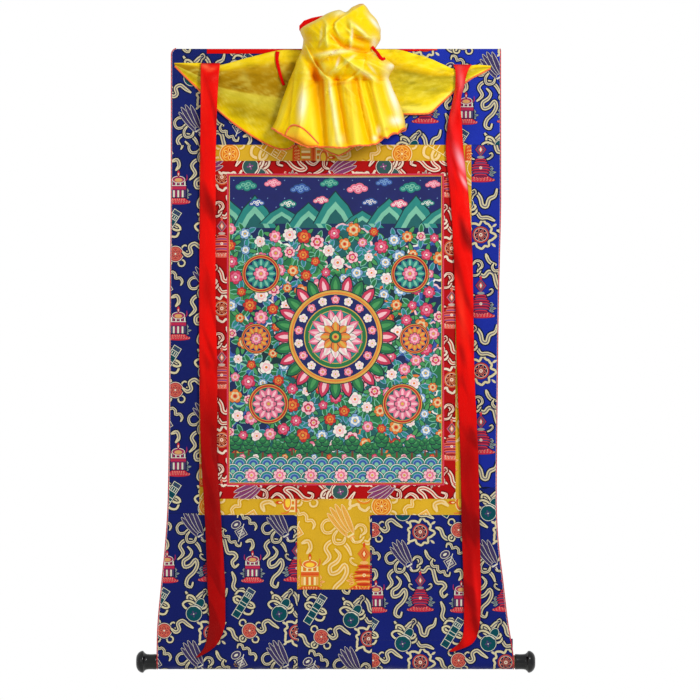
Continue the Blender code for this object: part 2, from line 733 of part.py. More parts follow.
def gather_mesh(name):
    """The puff and the skirt as one closed body that is open at the skirt's hem."""
    rings = puff_rings() + skirt_rings(0.0) + skirt_rings(VEIL_WALL / MM)[::-1]
    mesh = bpy.data.meshes.new(name)
    built = bmesh.new()
    loops = [[built.verts.new(point) for point in ring] for ring in rings]
    count = len(loops[0])
    for upper, lower in zip(loops, loops[1:]):
        for index in range(count):
            after = (index + 1) % count
            built.faces.new((upper[index], lower[index], lower[after], upper[after]))
    for ring in (loops[0], loops[-1]):
        middle = [sum(vert.co[axis] for vert in ring) / count for axis in range(3)]
        tip = built.verts.new(middle)
        for index in range(count):
            after = (index + 1) % count
            built.faces.new((ring[index], ring[after], tip))
    bmesh.ops.recalc_face_normals(built, faces=built.faces)
    built.to_mesh(mesh)
    built.free()
    mesh.shade_smooth()
    return mesh


def build_veil(collection):
    """The yellow veil: the gathered middle with a swag joined to it on each side."""
    veil = add_part("veil", gather_mesh("veil"), "silk", collection)
    for name, rows in (("swag_left", SWAG_LEFT), ("swag_right", SWAG_RIGHT)):
        swag = bpy.data.objects.new(name, swag_mesh(name, rows))
        bpy.context.scene.collection.objects.link(swag)
        thicken(swag, SATIN)
        hide_cutter(swag)
        join = veil.modifiers.new(name, "BOOLEAN")
        join.operation = "UNION"
        join.object = swag
    return veil


def build_ties(collection, veil):
    """The narrow red tapes beside the puff, each laid on the veil under it."""
    bpy.context.view_layer.update()
    cloth = BVHTree.FromObject(veil, bpy.context.evaluated_depsgraph_get())
    viewer = Vector((0.0, -1.0, 0.0))
    for name, rows in (("tie_left", TIE_LEFT), ("tie_right", TIE_RIGHT)):
        places = []
        fronts = []
        for index, row in enumerate(rows):
            before = rows[max(index - 1, 0)]
            after = rows[min(index + 1, len(rows) - 1)]
            run = (after.x_mm - before.x_mm, after.z_mm - before.z_mm)
            scale = row.width_mm / 2 / math.hypot(*run)
            places.append([((row.x_mm - side * run[1] * scale) * MM,
                            (row.z_mm + side * run[0] * scale) * MM) for side in (-1, 0, 1)])
            hits = [cloth.ray_cast(Vector((x, 0.0, z)) + viewer, -viewer)[0] for x, z in places[-1]]
            fronts.append(min([hit.y for hit in hits if hit is not None] + [-HEM_DEPTH]))
        grid = []
        for index, line in enumerate(places):
            nearest = min(fronts[max(index - 1, 0):index + 2])
            grid.append([(x, nearest - TIE_LIFT, z) for x, z in line])
        thicken(add_part(name, grid_mesh(name, grid), "satin", collection), SATIN)


def build_tape(collection):
    """The flat red tape on the front of the top hem."""
    curve = bpy.data.curves.new("hanging_tape", "CURVE")
    curve.dimensions = "2D"
    curve.fill_mode = "BOTH"
    curve.extrude = SATIN / 2
    for corners in (TAPE_OUTLINE, TAPE_LOOP):
        spline = curve.splines.new("POLY")
        spline.points.add(len(corners) - 1)
        spline.use_cyclic_u = True
        for point, corner in zip(spline.points, corners):
            point.co = (corner.x_mm * MM, corner.z_mm * MM, 0.0, 1.0)
    tape = add_part("hanging_tape", curve, "satin", collection)
    tape.rotation_euler = (math.radians(90), 0.0, 0.0)
    tape.location = (0.0, -HEM_DEPTH - SEAM - SATIN / 2, 0.0)


def main():
    """Build the whole scroll."""
    remove_scene_objects()
    parts = new_collection("scroll_painting")
    new_collection("cutters")
    build_mount(parts)
    build_frames(parts)
    build_piping(parts)
    build_roller(parts)
    build_streamers(parts)
    veil = build_veil(parts)
    build_ties(parts, veil)
    build_tape(parts)


main()
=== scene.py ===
"""Looks of a scroll painting in a brocade mount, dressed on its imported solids.

The origin is the middle of the mount's top edge, in the plane of the wall.
X runs to the viewer's right, Y into the wall and Z up. Lengths are metres,
except in the tables and drawings, which give millimetres.
"""
import math
from collections import namedtuple
from itertools import starmap

import bmesh
import bpy
from bpy.props import FloatProperty, FloatVectorProperty, IntProperty, PointerProperty
from bpy.types import Operator, Panel, PropertyGroup
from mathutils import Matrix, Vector, noise
from mathutils.bvhtree import BVHTree
from mathutils.geometry import delaunay_2d_cdt


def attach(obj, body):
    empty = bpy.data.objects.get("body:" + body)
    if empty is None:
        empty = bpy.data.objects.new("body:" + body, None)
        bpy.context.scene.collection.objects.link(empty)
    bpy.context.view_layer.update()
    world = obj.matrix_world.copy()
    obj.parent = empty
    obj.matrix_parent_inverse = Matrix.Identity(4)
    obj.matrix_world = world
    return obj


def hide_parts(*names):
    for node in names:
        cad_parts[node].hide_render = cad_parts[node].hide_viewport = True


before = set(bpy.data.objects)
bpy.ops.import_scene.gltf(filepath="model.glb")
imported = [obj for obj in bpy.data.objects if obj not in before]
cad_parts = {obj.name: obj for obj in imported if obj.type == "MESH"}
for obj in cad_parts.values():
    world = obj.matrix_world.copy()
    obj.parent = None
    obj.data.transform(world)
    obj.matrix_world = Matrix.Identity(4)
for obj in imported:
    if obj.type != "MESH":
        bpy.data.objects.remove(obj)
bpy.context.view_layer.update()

bl_info = {
    "name": "Scroll painting",
    "version": (1, 0, 0),
    "blender": (4, 5, 0),
    "location": "View3D > Sidebar > Scroll painting",
    "description": "Dresses the solids of a scroll painting in brocade, silk and satin",
    "category": "Object",
}

MM = 0.001

# Sizes of the solids
CLOTH = 0.0015
SATIN = 0.0012
SEAM = 0.0003
JOIN = 0.00004
PICTURE_WIDTH = 0.456
PICTURE_TOP = -0.2675
PICTURE_FOOT = -0.924
RED_SIDE = 0.0265
RED_TOP = 0.0295
RED_FOOT = 0.031
YELLOW_WIDTH = 0.034
HEM_HEIGHT = 0.028
HEM_DEPTH = 0.006
ROD_RADIUS = 0.014
ROD_HEIGHT = -1.3005
FINIAL_RADIUS = 0.0233
SLEEVE_SEAM = -1.255
SLEEVE_LEFT = -0.376
SLEEVE_RIGHT = 0.377
PIPING_RADIUS = 0.0012
PATCH_LEFT = -0.081
PATCH_RIGHT = 0.073
PATCH_TOP = -0.9565
PATCH_FOOT = -1.1465
RIPPLE = 0.0022
RIPPLE_ACROSS = 14.0
RIPPLE_DOWN = 3.0
RIPPLE_START = 0.6
SMALL_RIPPLE_ACROSS = 31.0
SMALL_RIPPLE_DOWN = 7.0
FLARE_START = 0.27
FLARE_WIDTH = 0.1
FLARE_CURL = 0.004
SLEEVE_TURN = math.radians(220)
SLEEVE_LEAN = math.radians(40)
SLEEVE_LAP = 0.004

ROD_DEPTH = FINIAL_RADIUS + SEAM
SLEEVE_RADIUS = ROD_RADIUS + SEAM
RED_OUTER = PICTURE_WIDTH / 2 + RED_SIDE
RED_OUTER_TOP = PICTURE_TOP + RED_TOP
RED_OUTER_FOOT = PICTURE_FOOT - RED_FOOT
WINDOW_SIDE = RED_OUTER + YELLOW_WIDTH
WINDOW_TOP = RED_OUTER_TOP + YELLOW_WIDTH
WINDOW_FOOT = RED_OUTER_FOOT - YELLOW_WIDTH

Edge = namedtuple("Edge", "z_mm left_mm right_mm")
MOUNT_EDGES = tuple(starmap(Edge, (
    (0, -338, 348), (-4, -344, 349), (-11, -347, 349), (-320, -347, 349), (-530, -349, 344), (-745, -350, 341),
    (-960, -353, 339), (-1045, -358, 343), (-1130, -366, 353), (-1215, -374, 363), (-1275, -376, 373),
    (-1320, -376, 377),
)))

Band = namedtuple("Band", "z_mm left_mm right_mm left_gap_mm right_gap_mm crown_mm")
STREAMER_LEFT = tuple(starmap(Band, (
    (-31, -286, -245, 5.2, 5.2, 0), (-42, -286, -246, 9, 11, 1), (-66, -286, -248, 13, 16, 2),
    (-130, -286, -251, 12, 15, 2), (-236, -287, -254, 7, 13, 3), (-385, -288, -254, 4, 12, 3),
    (-533, -289, -254, 4, 12, 3), (-703, -288, -250, 6, 7, 2), (-852, -285, -251, 10, 5, 3),
    (-1001, -276, -242, 11, 5, 3), (-1128, -271, -234, 7, 5, 2), (-1213, -267, -233, 5, 9, 2),
    (-1240, -270, -239, 4, 12, 3), (-1260, -274, -249, 3, 13, 3), (-1275, -281, -265, 3, 10, 2),
    (-1290, -295, -290, 3, 4, 0),
)))
STREAMER_RIGHT = tuple(starmap(Band, (
    (-34, 250, 289, 5.2, 5.2, 0), (-45, 254, 282, 10, 10, 3), (-62, 255, 276, 12, 12, 6),
    (-83, 254, 272, 13, 14, 9), (-100, 251, 267, 14, 18, 9), (-125, 246, 265, 13, 20, 7),
    (-151, 240, 267, 11, 18, 5), (-183, 236, 269, 8, 13, 6), (-215, 234, 271, 5, 9, 8),
    (-268, 239, 277, 4, 6, 7), (-321, 244, 283, 4, 5, 5), (-427, 250, 290, 4, 5, 3), (-533, 254, 292, 4, 6, 2),
    (-703, 258, 295, 5, 7, 2), (-852, 264, 302, 5, 5, 3), (-1001, 267, 305, 7, 4, 3),
    (-1171, 272, 308, 5, 6, 2), (-1225, 272, 304, 4, 9, 2), (-1250, 268, 297, 3, 11, 3),
    (-1264, 258, 284, 3, 10, 3), (-1278, 239, 250, 3, 5, 0),
)))

Swag = namedtuple("Swag", "x_up_mm z_up_mm x_low_mm z_low_mm gap_mm roll_mm")
SWAG_LEFT = tuple(starmap(Swag, (
    (-343, -30, -341, -37, 0.4, 0), (-315, -30, -315, -63, 2.2, 1), (-288, -30, -288, -89, 2.5, 3),
    (-245, -34, -250, -130, 3, 5), (-186, -19, -197, -172, 4, 8), (-124, -4, -139, -206, 4, 9),
    (-97, -2, -107, -214, 4, 7), (-72, -3, -84, -196, 5, 4), (-50, -7, -54, -112, 9, 1),
    (-36, -12, -38, -60, 20, 0), (-10, -17, -10, -48, 34, 0),
)))
SWAG_RIGHT = tuple(starmap(Swag, (
    (331, -36, 329, -42, 0.4, 0), (300, -34, 304, -55, 2.2, 1), (282, -37, 284, -66, 2.5, 2),
    (254, -43, 254, -89, 3, 4), (226, -32, 225, -115, 3.5, 6), (201, -21, 197, -138, 4, 9),
    (158, -8, 158, -139, 4, 11), (128, -1, 134, -138, 4, 8), (104, -1, 112, -118, 6, 3),
    (84, -2, 88, -66, 14, 0), (54, -12, 54, -48, 34, 0),
)))

Ring = namedtuple("Ring", "z_mm left_mm right_mm back_mm front_mm")
PUFF = tuple(starmap(Ring, (
    (92, 48, 60, 34, 50), (87, 34, 66, 26, 66), (77, -8, 73, 16, 84), (62, -38, 86, 12, 95),
    (40, -75, 96, 11, 104), (19, -69, 95, 11, 106), (4, -70, 87, 12, 99), (-8, -74, 82, 15, 88),
    (-22, -80, 106, 26, 92), (-38, -86, 125, 26, 98), (-53, -92, 117, 26, 93), (-63, -96, 113, 26, 80),
    (-70, -99, 116, 26, 74),
)))
Flare = namedtuple("Flare", "part left_mm right_mm back_mm front_mm")
SKIRT = tuple(starmap(Flare, (
    (0.0, -99, 116, 26, 74), (0.15, -105, 122, 26, 77), (0.35, -113, 132, 26.5, 82), (0.6, -121, 142, 27, 87),
    (0.8, -127, 147, 27.5, 92), (1.0, -135, 149, 28, 97),
)))
Hem = namedtuple("Hem", "x_mm front_z_mm back_z_mm")
SKIRT_HEM = tuple(starmap(Hem, (
    (-135, -170, -170), (-99, -193, -186), (-58, -212, -203), (-30, -211, -212), (10, -214, -228),
    (41, -210, -207), (82, -206, -199), (116, -190, -184), (149, -174, -174),
)))
Crease = namedtuple("Crease", "x0_mm z0_mm x1_mm z1_mm height_mm width_mm")
CREASES = tuple(starmap(Crease, (
    (58, 91, 95, 36, 7, 9), (39, 42, 69, 17, 10, 9), (33, 40, 33, 6, 6, 7), (37, 19, 65, 11, -11, 9),
    (-18, 32, -16, 4, 6, 8), (-7, 15, 61, -15, -9, 9), (-31, -19, 35, -8, 9, 9), (27, -30, 85, -70, 8, 8),
    (27, -30, 0, -50, 7, 8), (-70, 40, -20, 74, 5, 14), (-42, -40, -24, -205, -20, 12),
    (-66, -70, -75, -190, 10, 14), (-5, -78, 12, -200, 9, 8), (2, -78, 22, -200, -15, 9),
    (24, -80, 45, -205, 7, 14), (43, -76, 69, -195, -15, 9), (62, -76, 90, -190, -11, 8),
    (80, -78, 108, -190, 9, 10), (98, -76, 130, -178, -10, 9), (-72, -4, -46, -56, -12, 9),
)))
# Narrow sharp creases of the silk, over the broad ones above
SHARP_CREASES = tuple(starmap(Crease, (
    (62, 88, 92, 48, 2.5, 2.6), (52, 84, 74, 44, 1.3, 2.4), (36, 45, 70, 20, 3.2, 2.2),
    (33, 42, 32, 10, 2.3, 1.8), (3, 60, 32, 24, 1.9, 2.6), (-2, 52, 10, 70, -1.7, 3.0),
    (-20, 36, -17, 6, 2.2, 2.2), (-40, 60, -6, 74, 1.6, 2.6), (-58, 44, -30, 20, 1.6, 3.2),
    (-62, 14, -30, 8, -1.6, 3.0), (36, 19, 66, 12, -2.9, 2.2), (-6, 12, 24, -6, -3.2, 2.6),
    (24, -6, 61, -15, -3.2, 2.6), (-30, -18, 34, -8, 2.9, 2.4), (-14, -26, 10, -6, 1.7, 2.0),
    (6, -50, 42, -19, 2.7, 1.6), (16, -23, 42, -50, 2.7, 1.6), (27, -32, 86, -72, 3.0, 2.0),
    (27, -30, 0, -48, 2.6, 2.0), (44, -20, 84, -36, 1.7, 2.6), (84, -30, 122, -42, 1.7, 2.6),
    (-34, -44, -24, -60, -2.6, 3.0), (-12, -80, 5, -198, 4.0, 2.6), (-27, -76, -17, -205, -3.0, 3.4),
    (3, -80, 22, -196, -2.0, 3.0), (42, -70, 71, -198, -3.0, 3.0), (72, -76, 96, -180, -2.6, 3.0),
    (-66, -80, -74, -170, 2.4, 5.0), (24, -86, 58, -118, 1.6, 2.6), (112, -56, 136, -120, 2.6, 3.4),
    (14, -80, 38, -100, 1.5, 1.8), (18, -96, 48, -124, -1.5, 1.8), (32, -110, 58, -140, 1.5, 1.9),
    (26, -118, 44, -140, -1.3, 1.8), (-72, 30, -44, -4, 1.5, 2.2), (-36, 8, -8, 34, -1.5, 2.0),
    (60, 60, 84, 62, 1.3, 2.0),
)))

# Edges where one fold of the silk lies over the next: the cloth to the left of the line stands higher
Lap = namedtuple("Lap", "height_mm reach_mm line")
LAPS = tuple(starmap(Lap, (
    (9.0, 26.0, ((82, -4), (64, -13), (37, -10), (11, 1), (-6, 21))),
    (7.0, 30.0, ((3, 26), (-3, 38), (-2, 49), (8, 58), (31, 74), (56, 89))[::-1]),
    (9.0, 24.0, ((46, -55), (37, -62), (18, -72), (-2, -73), (-24, -58), (-42, -34), (-56, -8), (-66, 14))),
    (4.5, 16.0, ((-34, 66), (-20, 44), (-22, 22), (-34, 2))),
    (5.0, 18.0, ((86, 24), (62, 20), (40, 22), (28, 34))),
    (5.0, 16.0, ((112, -52), (90, -40), (62, -28), (40, -26))),
    (5.0, 17.0, ((-26, -76), (-24, -128), (-16, -206))),
    (4.5, 18.0, ((72, -202), (66, -149), (55, -105), (43, -68))),
    (3.5, 14.0, ((98, -190), (92, -148), (82, -112), (70, -76))),
    (3.0, 12.0, ((-84, -30), (-92, -100), (-98, -160))),
)))
# Soft patches of painted highlight and painted shade, where the silk is lighter or deeper in colour
Tint = namedtuple("Tint", "x_mm z_mm across_mm high_mm turn red green blue strength")
VEIL_PAINTED_LIGHT = tuple(starmap(Tint, (
    (-38, -58, 13, 34, 0.3, 222, 100, 6, 0.75), (-36, -112, 10, 40, 0.12, 246, 164, 10, 0.55),
    (-25, -96, 3, 46, 0.06, 212, 92, 6, 0.6), (-69, -122, 8, 32, -0.08, 255, 255, 236, 0.85),
    (-52, -160, 9, 30, 0.1, 255, 226, 60, 0.5), (-86, -60, 6, 36, -0.16, 255, 232, 60, 0.5),
    (-96, -110, 4, 56, -0.12, 238, 176, 8, 0.5), (-114, -140, 6, 34, -0.35, 255, 236, 90, 0.5),
    (-78, -194, 36, 6.5, -0.38, 232, 96, 16, 0.95), (-10, -96, 3, 22, 0.1, 255, 255, 236, 0.8),
    (0, -152, 4.5, 44, 0.14, 255, 255, 236, 0.8), (9, -196, 9, 10, 0.0, 255, 250, 190, 0.7),
    (13, -130, 3, 50, 0.16, 246, 176, 10, 0.5), (36, -138, 15, 56, 0.12, 252, 196, 6, 0.6),
    (34, -88, 16, 12, 0.0, 250, 176, 8, 0.5), (56, -112, 3.5, 50, 0.3, 238, 140, 6, 0.65),
    (70, -178, 3.5, 30, 0.12, 240, 156, 6, 0.5), (84, -130, 7, 40, 0.25, 255, 232, 30, 0.5),
    (82, -108, 2.5, 34, 0.25, 242, 164, 10, 0.5), (121, -98, 9, 44, 0.27, 255, 255, 236, 0.95),
    (128, -155, 12, 9, 0.0, 255, 255, 236, 0.95), (106, -160, 6, 20, 0.1, 255, 240, 90, 0.5),
    (95, -191, 6, 4.5, 0.0, 230, 88, 20, 0.9), (107, -174, 5, 4, 0.0, 240, 120, 20, 0.6),
    (83, -193, 5, 5, 0.0, 255, 255, 236, 0.8), (91, -176, 4, 8, 0.0, 255, 255, 236, 0.6),
    (16, -77, 26, 4, 0.1, 232, 130, 8, 0.7), (-58, 16, 9, 14, 0.0, 248, 186, 16, 0.6),
    (-50, 44, 14, 8, 0.5, 250, 200, 16, 0.5), (-20, -28, 24, 5, 0.1, 242, 166, 8, 0.55),
    (-14, -52, 13, 9, -0.4, 244, 168, 10, 0.55), (-3, 17, 5, 14, 0.7, 240, 150, 6, 0.65),
    (34, -2, 26, 4, -0.19, 234, 140, 4, 0.75), (56, 10, 14, 8, -0.3, 244, 170, 6, 0.7),
    (54, 19, 13, 2.6, -0.2, 216, 104, 4, 0.85), (78, -22, 16, 5, -0.1, 246, 176, 8, 0.5),
    (66, 62, 10, 18, 0.2, 252, 208, 10, 0.5), (0, 60, 24, 7, 0.3, 250, 196, 10, 0.5),
    (20, 42, 7, 14, -0.3, 255, 240, 60, 0.5), (0, -13, 27, 4, 0.13, 255, 255, 236, 0.85),
    (34, 19, 2.4, 16, -0.1, 255, 255, 236, 0.85), (55, 31, 2.8, 18, 0.83, 255, 255, 236, 0.85),
    (84, 50, 4.5, 18, 0.75, 255, 255, 236, 0.95), (82, 8, 6, 11, 0.1, 255, 255, 236, 0.85),
    (8, 71, 11, 6, 0.3, 255, 250, 190, 0.75), (4, -38, 2.4, 11, -0.3, 255, 255, 236, 0.85),
    (31, -28, 2.4, 11, -0.83, 255, 255, 236, 0.85), (66, -59, 19, 4, -0.5, 255, 255, 236, 0.6),
    (118, -40, 9, 7, 0.5, 255, 255, 236, 0.85), (77, -47, 2.4, 11, 0.72, 255, 250, 190, 0.7),
    (-30, 24, 2.4, 14, -0.1, 255, 250, 170, 0.6),
)))
# Painted highlights and painted shade on the streamers' satin, with the same columns
STREAMER_PAINTED_LIGHT = tuple(starmap(Tint, (
    (-276, -38, 10, 5, -0.5, 255, 112, 72, 0.8), (-262, -44, 10, 3.5, 0.35, 255, 100, 60, 0.7),
    (-270, -31, 22, 2.5, 0.0, 150, 0, 4, 0.8), (-262, -62, 16, 10, 0.3, 190, 4, 6, 0.5),
    (-284, -90, 3, 50, 0.0, 255, 60, 36, 0.5), (-276, -120, 6, 40, 0.0, 250, 30, 16, 0.5),
    (-270, -190, 10, 60, 0.05, 236, 10, 6, 0.5), (-268, -338, 22, 20, 0.2, 176, 0, 4, 0.5),
    (-270, -520, 16, 34, 0.25, 184, 0, 2, 0.6), (-260, -650, 5, 70, 0.35, 160, 0, 4, 0.7),
    (-280, -690, 5, 60, 0.1, 236, 20, 10, 0.6), (-268, -800, 20, 70, 0.0, 150, 0, 4, 0.75),
    (-262, -960, 22, 60, 0.0, 132, 0, 6, 0.8), (-256, -1080, 20, 50, 0.0, 146, 0, 6, 0.75),
    (-240, -1090, 4, 60, 0.0, 206, 10, 20, 0.6), (268, -40, 14, 6, 0.0, 240, 60, 60, 0.6),
    (266, -70, 6, 26, 0.1, 252, 110, 110, 0.7), (252, -130, 6, 40, -0.2, 250, 60, 60, 0.6),
    (254, -190, 10, 30, 0.1, 250, 40, 44, 0.6), (244, -240, 6, 40, 0.1, 236, 24, 40, 0.6),
    (266, -240, 6.5, 24, 0.32, 255, 170, 184, 0.95), (271, -282, 3.5, 15, 0.5, 255, 196, 204, 0.9),
    (258, -262, 3, 54, 0.3, 176, 0, 10, 0.75), (262, -300, 12, 40, 0.1, 248, 14, 12, 0.6),
    (262, -470, 6, 50, 0.15, 180, 0, 4, 0.6), (268, -560, 7, 60, 0.1, 250, 56, 34, 0.6),
    (280, -640, 6, 70, 0.1, 250, 20, 10, 0.6), (274, -760, 18, 50, 0.0, 232, 4, 6, 0.5),
    (280, -880, 20, 60, 0.0, 150, 0, 6, 0.8), (286, -1000, 20, 70, 0.0, 134, 0, 8, 0.8),
    (284, -1110, 12, 60, 0.0, 150, 0, 8, 0.7), (300, -1160, 5, 60, 0.1, 244, 20, 20, 0.7),
    (276, -1240, 14, 30, 0.3, 246, 10, 10, 0.6),
)))

Tie = namedtuple("Tie", "x_mm z_mm width_mm")
TIE_LEFT = tuple(starmap(Tie, (
    (-122.6, -6, 8.5), (-124.0, -14, 8), (-124.4, -22, 7.5), (-123.4, -30, 7), (-121.6, -38, 7),
    (-119.6, -46, 6.5), (-117.6, -54, 6.5), (-115.2, -62, 6), (-112.4, -70, 6), (-109.4, -78, 6),
)))
TIE_RIGHT = tuple(starmap(Tie, (
    (77, 1, 7), (82, -5, 7), (87, -11, 7), (91, -17, 7), (95, -23, 7), (100, -26, 6), (105, -24, 5),
)))
TIE_LIFT = 0.0008

Turn = namedtuple("Turn", "along_mm radius_mm")
FINIAL = tuple(starmap(Turn, (
    (43.0, 0.0), (43.0, 9.0), (42.0, 13.0), (39.5, 17.5), (36.0, 21.0), (32.0, 23.0), (29.5, 23.3),
    (27.6, 22.4), (25.6, 19.8), (22.6, 17.4), (19.0, 16.4), (10.0, 16.0), (2.0, 16.4), (0.0, 15.8), (0.0, 0.0),
)))


# Hang of the cloth, as the solids have it

def held(value):
    """A share kept between nothing and all."""
    return min(1.0, max(0.0, value))


def crumple(x, y, z):
    """A soft random height at a place."""
    return noise.noise(Vector((x, y, z)))


def at_table(rows, place, key, value):
    """A column's value at a place along another column, eased between rows."""
    keys = [getattr(row, key) for row in rows]
    values = [getattr(row, value) for row in rows]
    if keys[0] > keys[-1]:
        keys = keys[::-1]
        values = values[::-1]
    place = min(max(place, keys[0]), keys[-1])
    index = 0
    while index < len(keys) - 2 and place > keys[index + 1]:
        index += 1
    step = keys[index + 1] - keys[index]
    rise = values[index + 1] - values[index]
    slopes = []
    for knot in (index, index + 1):
        before = max(knot - 1, 0)
        after = min(knot + 1, len(keys) - 1)
        slope = (values[after] - values[before]) / (keys[after] - keys[before])
        slopes.append(step * slope if slope * rise > 0 else 0.0)
    limit = 3 * abs(rise)
    start, end = (max(-limit, min(limit, slope)) for slope in slopes)
    t = (place - keys[index]) / step
    return (values[index] * (2 * t**3 - 3 * t**2 + 1) + start * (t**3 - 2 * t**2 + t)
            + values[index + 1] * (3 * t**2 - 2 * t**3) + end * (t**3 - t**2))


def table_row(rows, place):
    """The other columns' values at a place along a table's first column."""
    key, *others = rows[0]._fields
    return [at_table(rows, place, key, value) for value in others]


def edge_at(z, side):
    """Left or right edge of the mount at a height."""
    return at_table(MOUNT_EDGES, z / MM, "z_mm", side + "_mm") * MM


def back_of_mount(x, z):
    """Depth of the hanging sheet's back before the wall at a place."""
    straight = HEM_DEPTH - CLOTH
    if z > -HEM_HEIGHT:
        return straight
    drop = (z + HEM_HEIGHT) / (ROD_HEIGHT + HEM_HEIGHT)
    lean = straight + (ROD_DEPTH + SLEEVE_RADIUS - straight) * drop
    swell = math.sin(math.pi * min(drop, 1.0)) ** 2
    wave = RIPPLE * math.sin(RIPPLE_ACROSS * x + RIPPLE_DOWN * drop + RIPPLE_START)
    small = 0.5 * RIPPLE * math.cos(SMALL_RIPPLE_ACROSS * x - SMALL_RIPPLE_DOWN * drop)
    side = held((abs(x) - FLARE_START) / FLARE_WIDTH)
    return lean + swell * (wave + small) + FLARE_CURL * side * side * swell


def front_of_mount(x, z):
    """Depth of the hanging sheet's front before the wall."""
    return back_of_mount(x, z) + CLOTH


def spaced(start, end, count):
    """Evenly spaced places from start to end."""
    return [start + (end - start) * index / count for index in range(count + 1)]


def sleeve_path():
    """Inner side of the sleeve as distance, depth and height: down, round and up."""
    places = []
    for angle in spaced(0.0, SLEEVE_TURN, 44):
        places.append((ROD_DEPTH + SLEEVE_RADIUS * math.cos(angle),
                       ROD_HEIGHT - SLEEVE_RADIUS * math.sin(angle)))
    depth, height = places[-1]
    front = back_of_mount(0.0, SLEEVE_SEAM) - SEAM - CLOTH
    knee = height + (front - depth) / math.sin(SLEEVE_LEAN) * math.cos(SLEEVE_LEAN)
    places.append((depth + 0.5 * (front - depth), 0.5 * (height + knee)))
    places.append((front - 2 * SEAM, knee - 2 * SEAM))
    places.append((front, SLEEVE_SEAM + SLEEVE_LAP))
    path = [(0.0, *places[0])]
    for before, after in zip(places, places[1:]):
        path.append((path[-1][0] + math.dist(before, after), *after))
    return path


SLEEVE_PATH = sleeve_path()
SLEEVE_LENGTH = SLEEVE_PATH[-1][0]
CLOTH_END = ROD_HEIGHT - SLEEVE_LENGTH


def on_mount(x, down, lift):
    """Place on the mount's cloth, lift before its back; below the rod, down goes round it."""
    if down >= ROD_HEIGHT:
        return Vector((x, -back_of_mount(x, down) - lift, down))
    run = min(ROD_HEIGHT - down, SLEEVE_LENGTH)
    index = 0
    while index < len(SLEEVE_PATH) - 2 and run > SLEEVE_PATH[index + 1][0]:
        index += 1
    start, end = SLEEVE_PATH[index], SLEEVE_PATH[index + 1]
    part = (run - start[0]) / (end[0] - start[0])
    along = ((end[1] - start[1]) / (end[0] - start[0]), (end[2] - start[2]) / (end[0] - start[0]))
    depth = start[1] + (end[1] - start[1]) * part - along[1] * lift
    height = start[2] + (end[2] - start[2]) * part + along[0] * lift
    return Vector((x, -depth, height))


# Drawing: flat coloured shapes, in millimetres, from which the brocades and the picture are made

Shape = namedtuple("Shape", "colour points area", defaults=(None,))


def smooth_path(points, step):
    """Points at near-even steps along a smooth curve through the given ones."""
    path = []
    last = len(points) - 1
    for index in range(last):
        p0 = points[max(index - 1, 0)]
        p1, p2 = points[index], points[index + 1]
        p3 = points[min(index + 2, last)]
        count = max(2, round(math.dist(p1, p2) / step))
        for part in spaced(0.0, 1.0, count)[:-1]:
            path.append(tuple(
                0.5 * (2 * b + (c - a) * part + (2 * a - 5 * b + 4 * c - d) * part**2
                       + (3 * b - a - 3 * c + d) * part**3)
                for a, b, c, d in zip(p0, p1, p2, p3)))
    path.append(tuple(points[last]))
    return path


def turns(count, shift=0):
    """Even turns all the way round."""
    return [math.tau * (index + shift) / count for index in range(count)]


def placed(points, x, z, turn=0.0):
    """Points turned about the origin, then moved."""
    c, s = math.cos(turn), math.sin(turn)
    return [(x + u * c - v * s, z + u * s + v * c) for u, v in points]


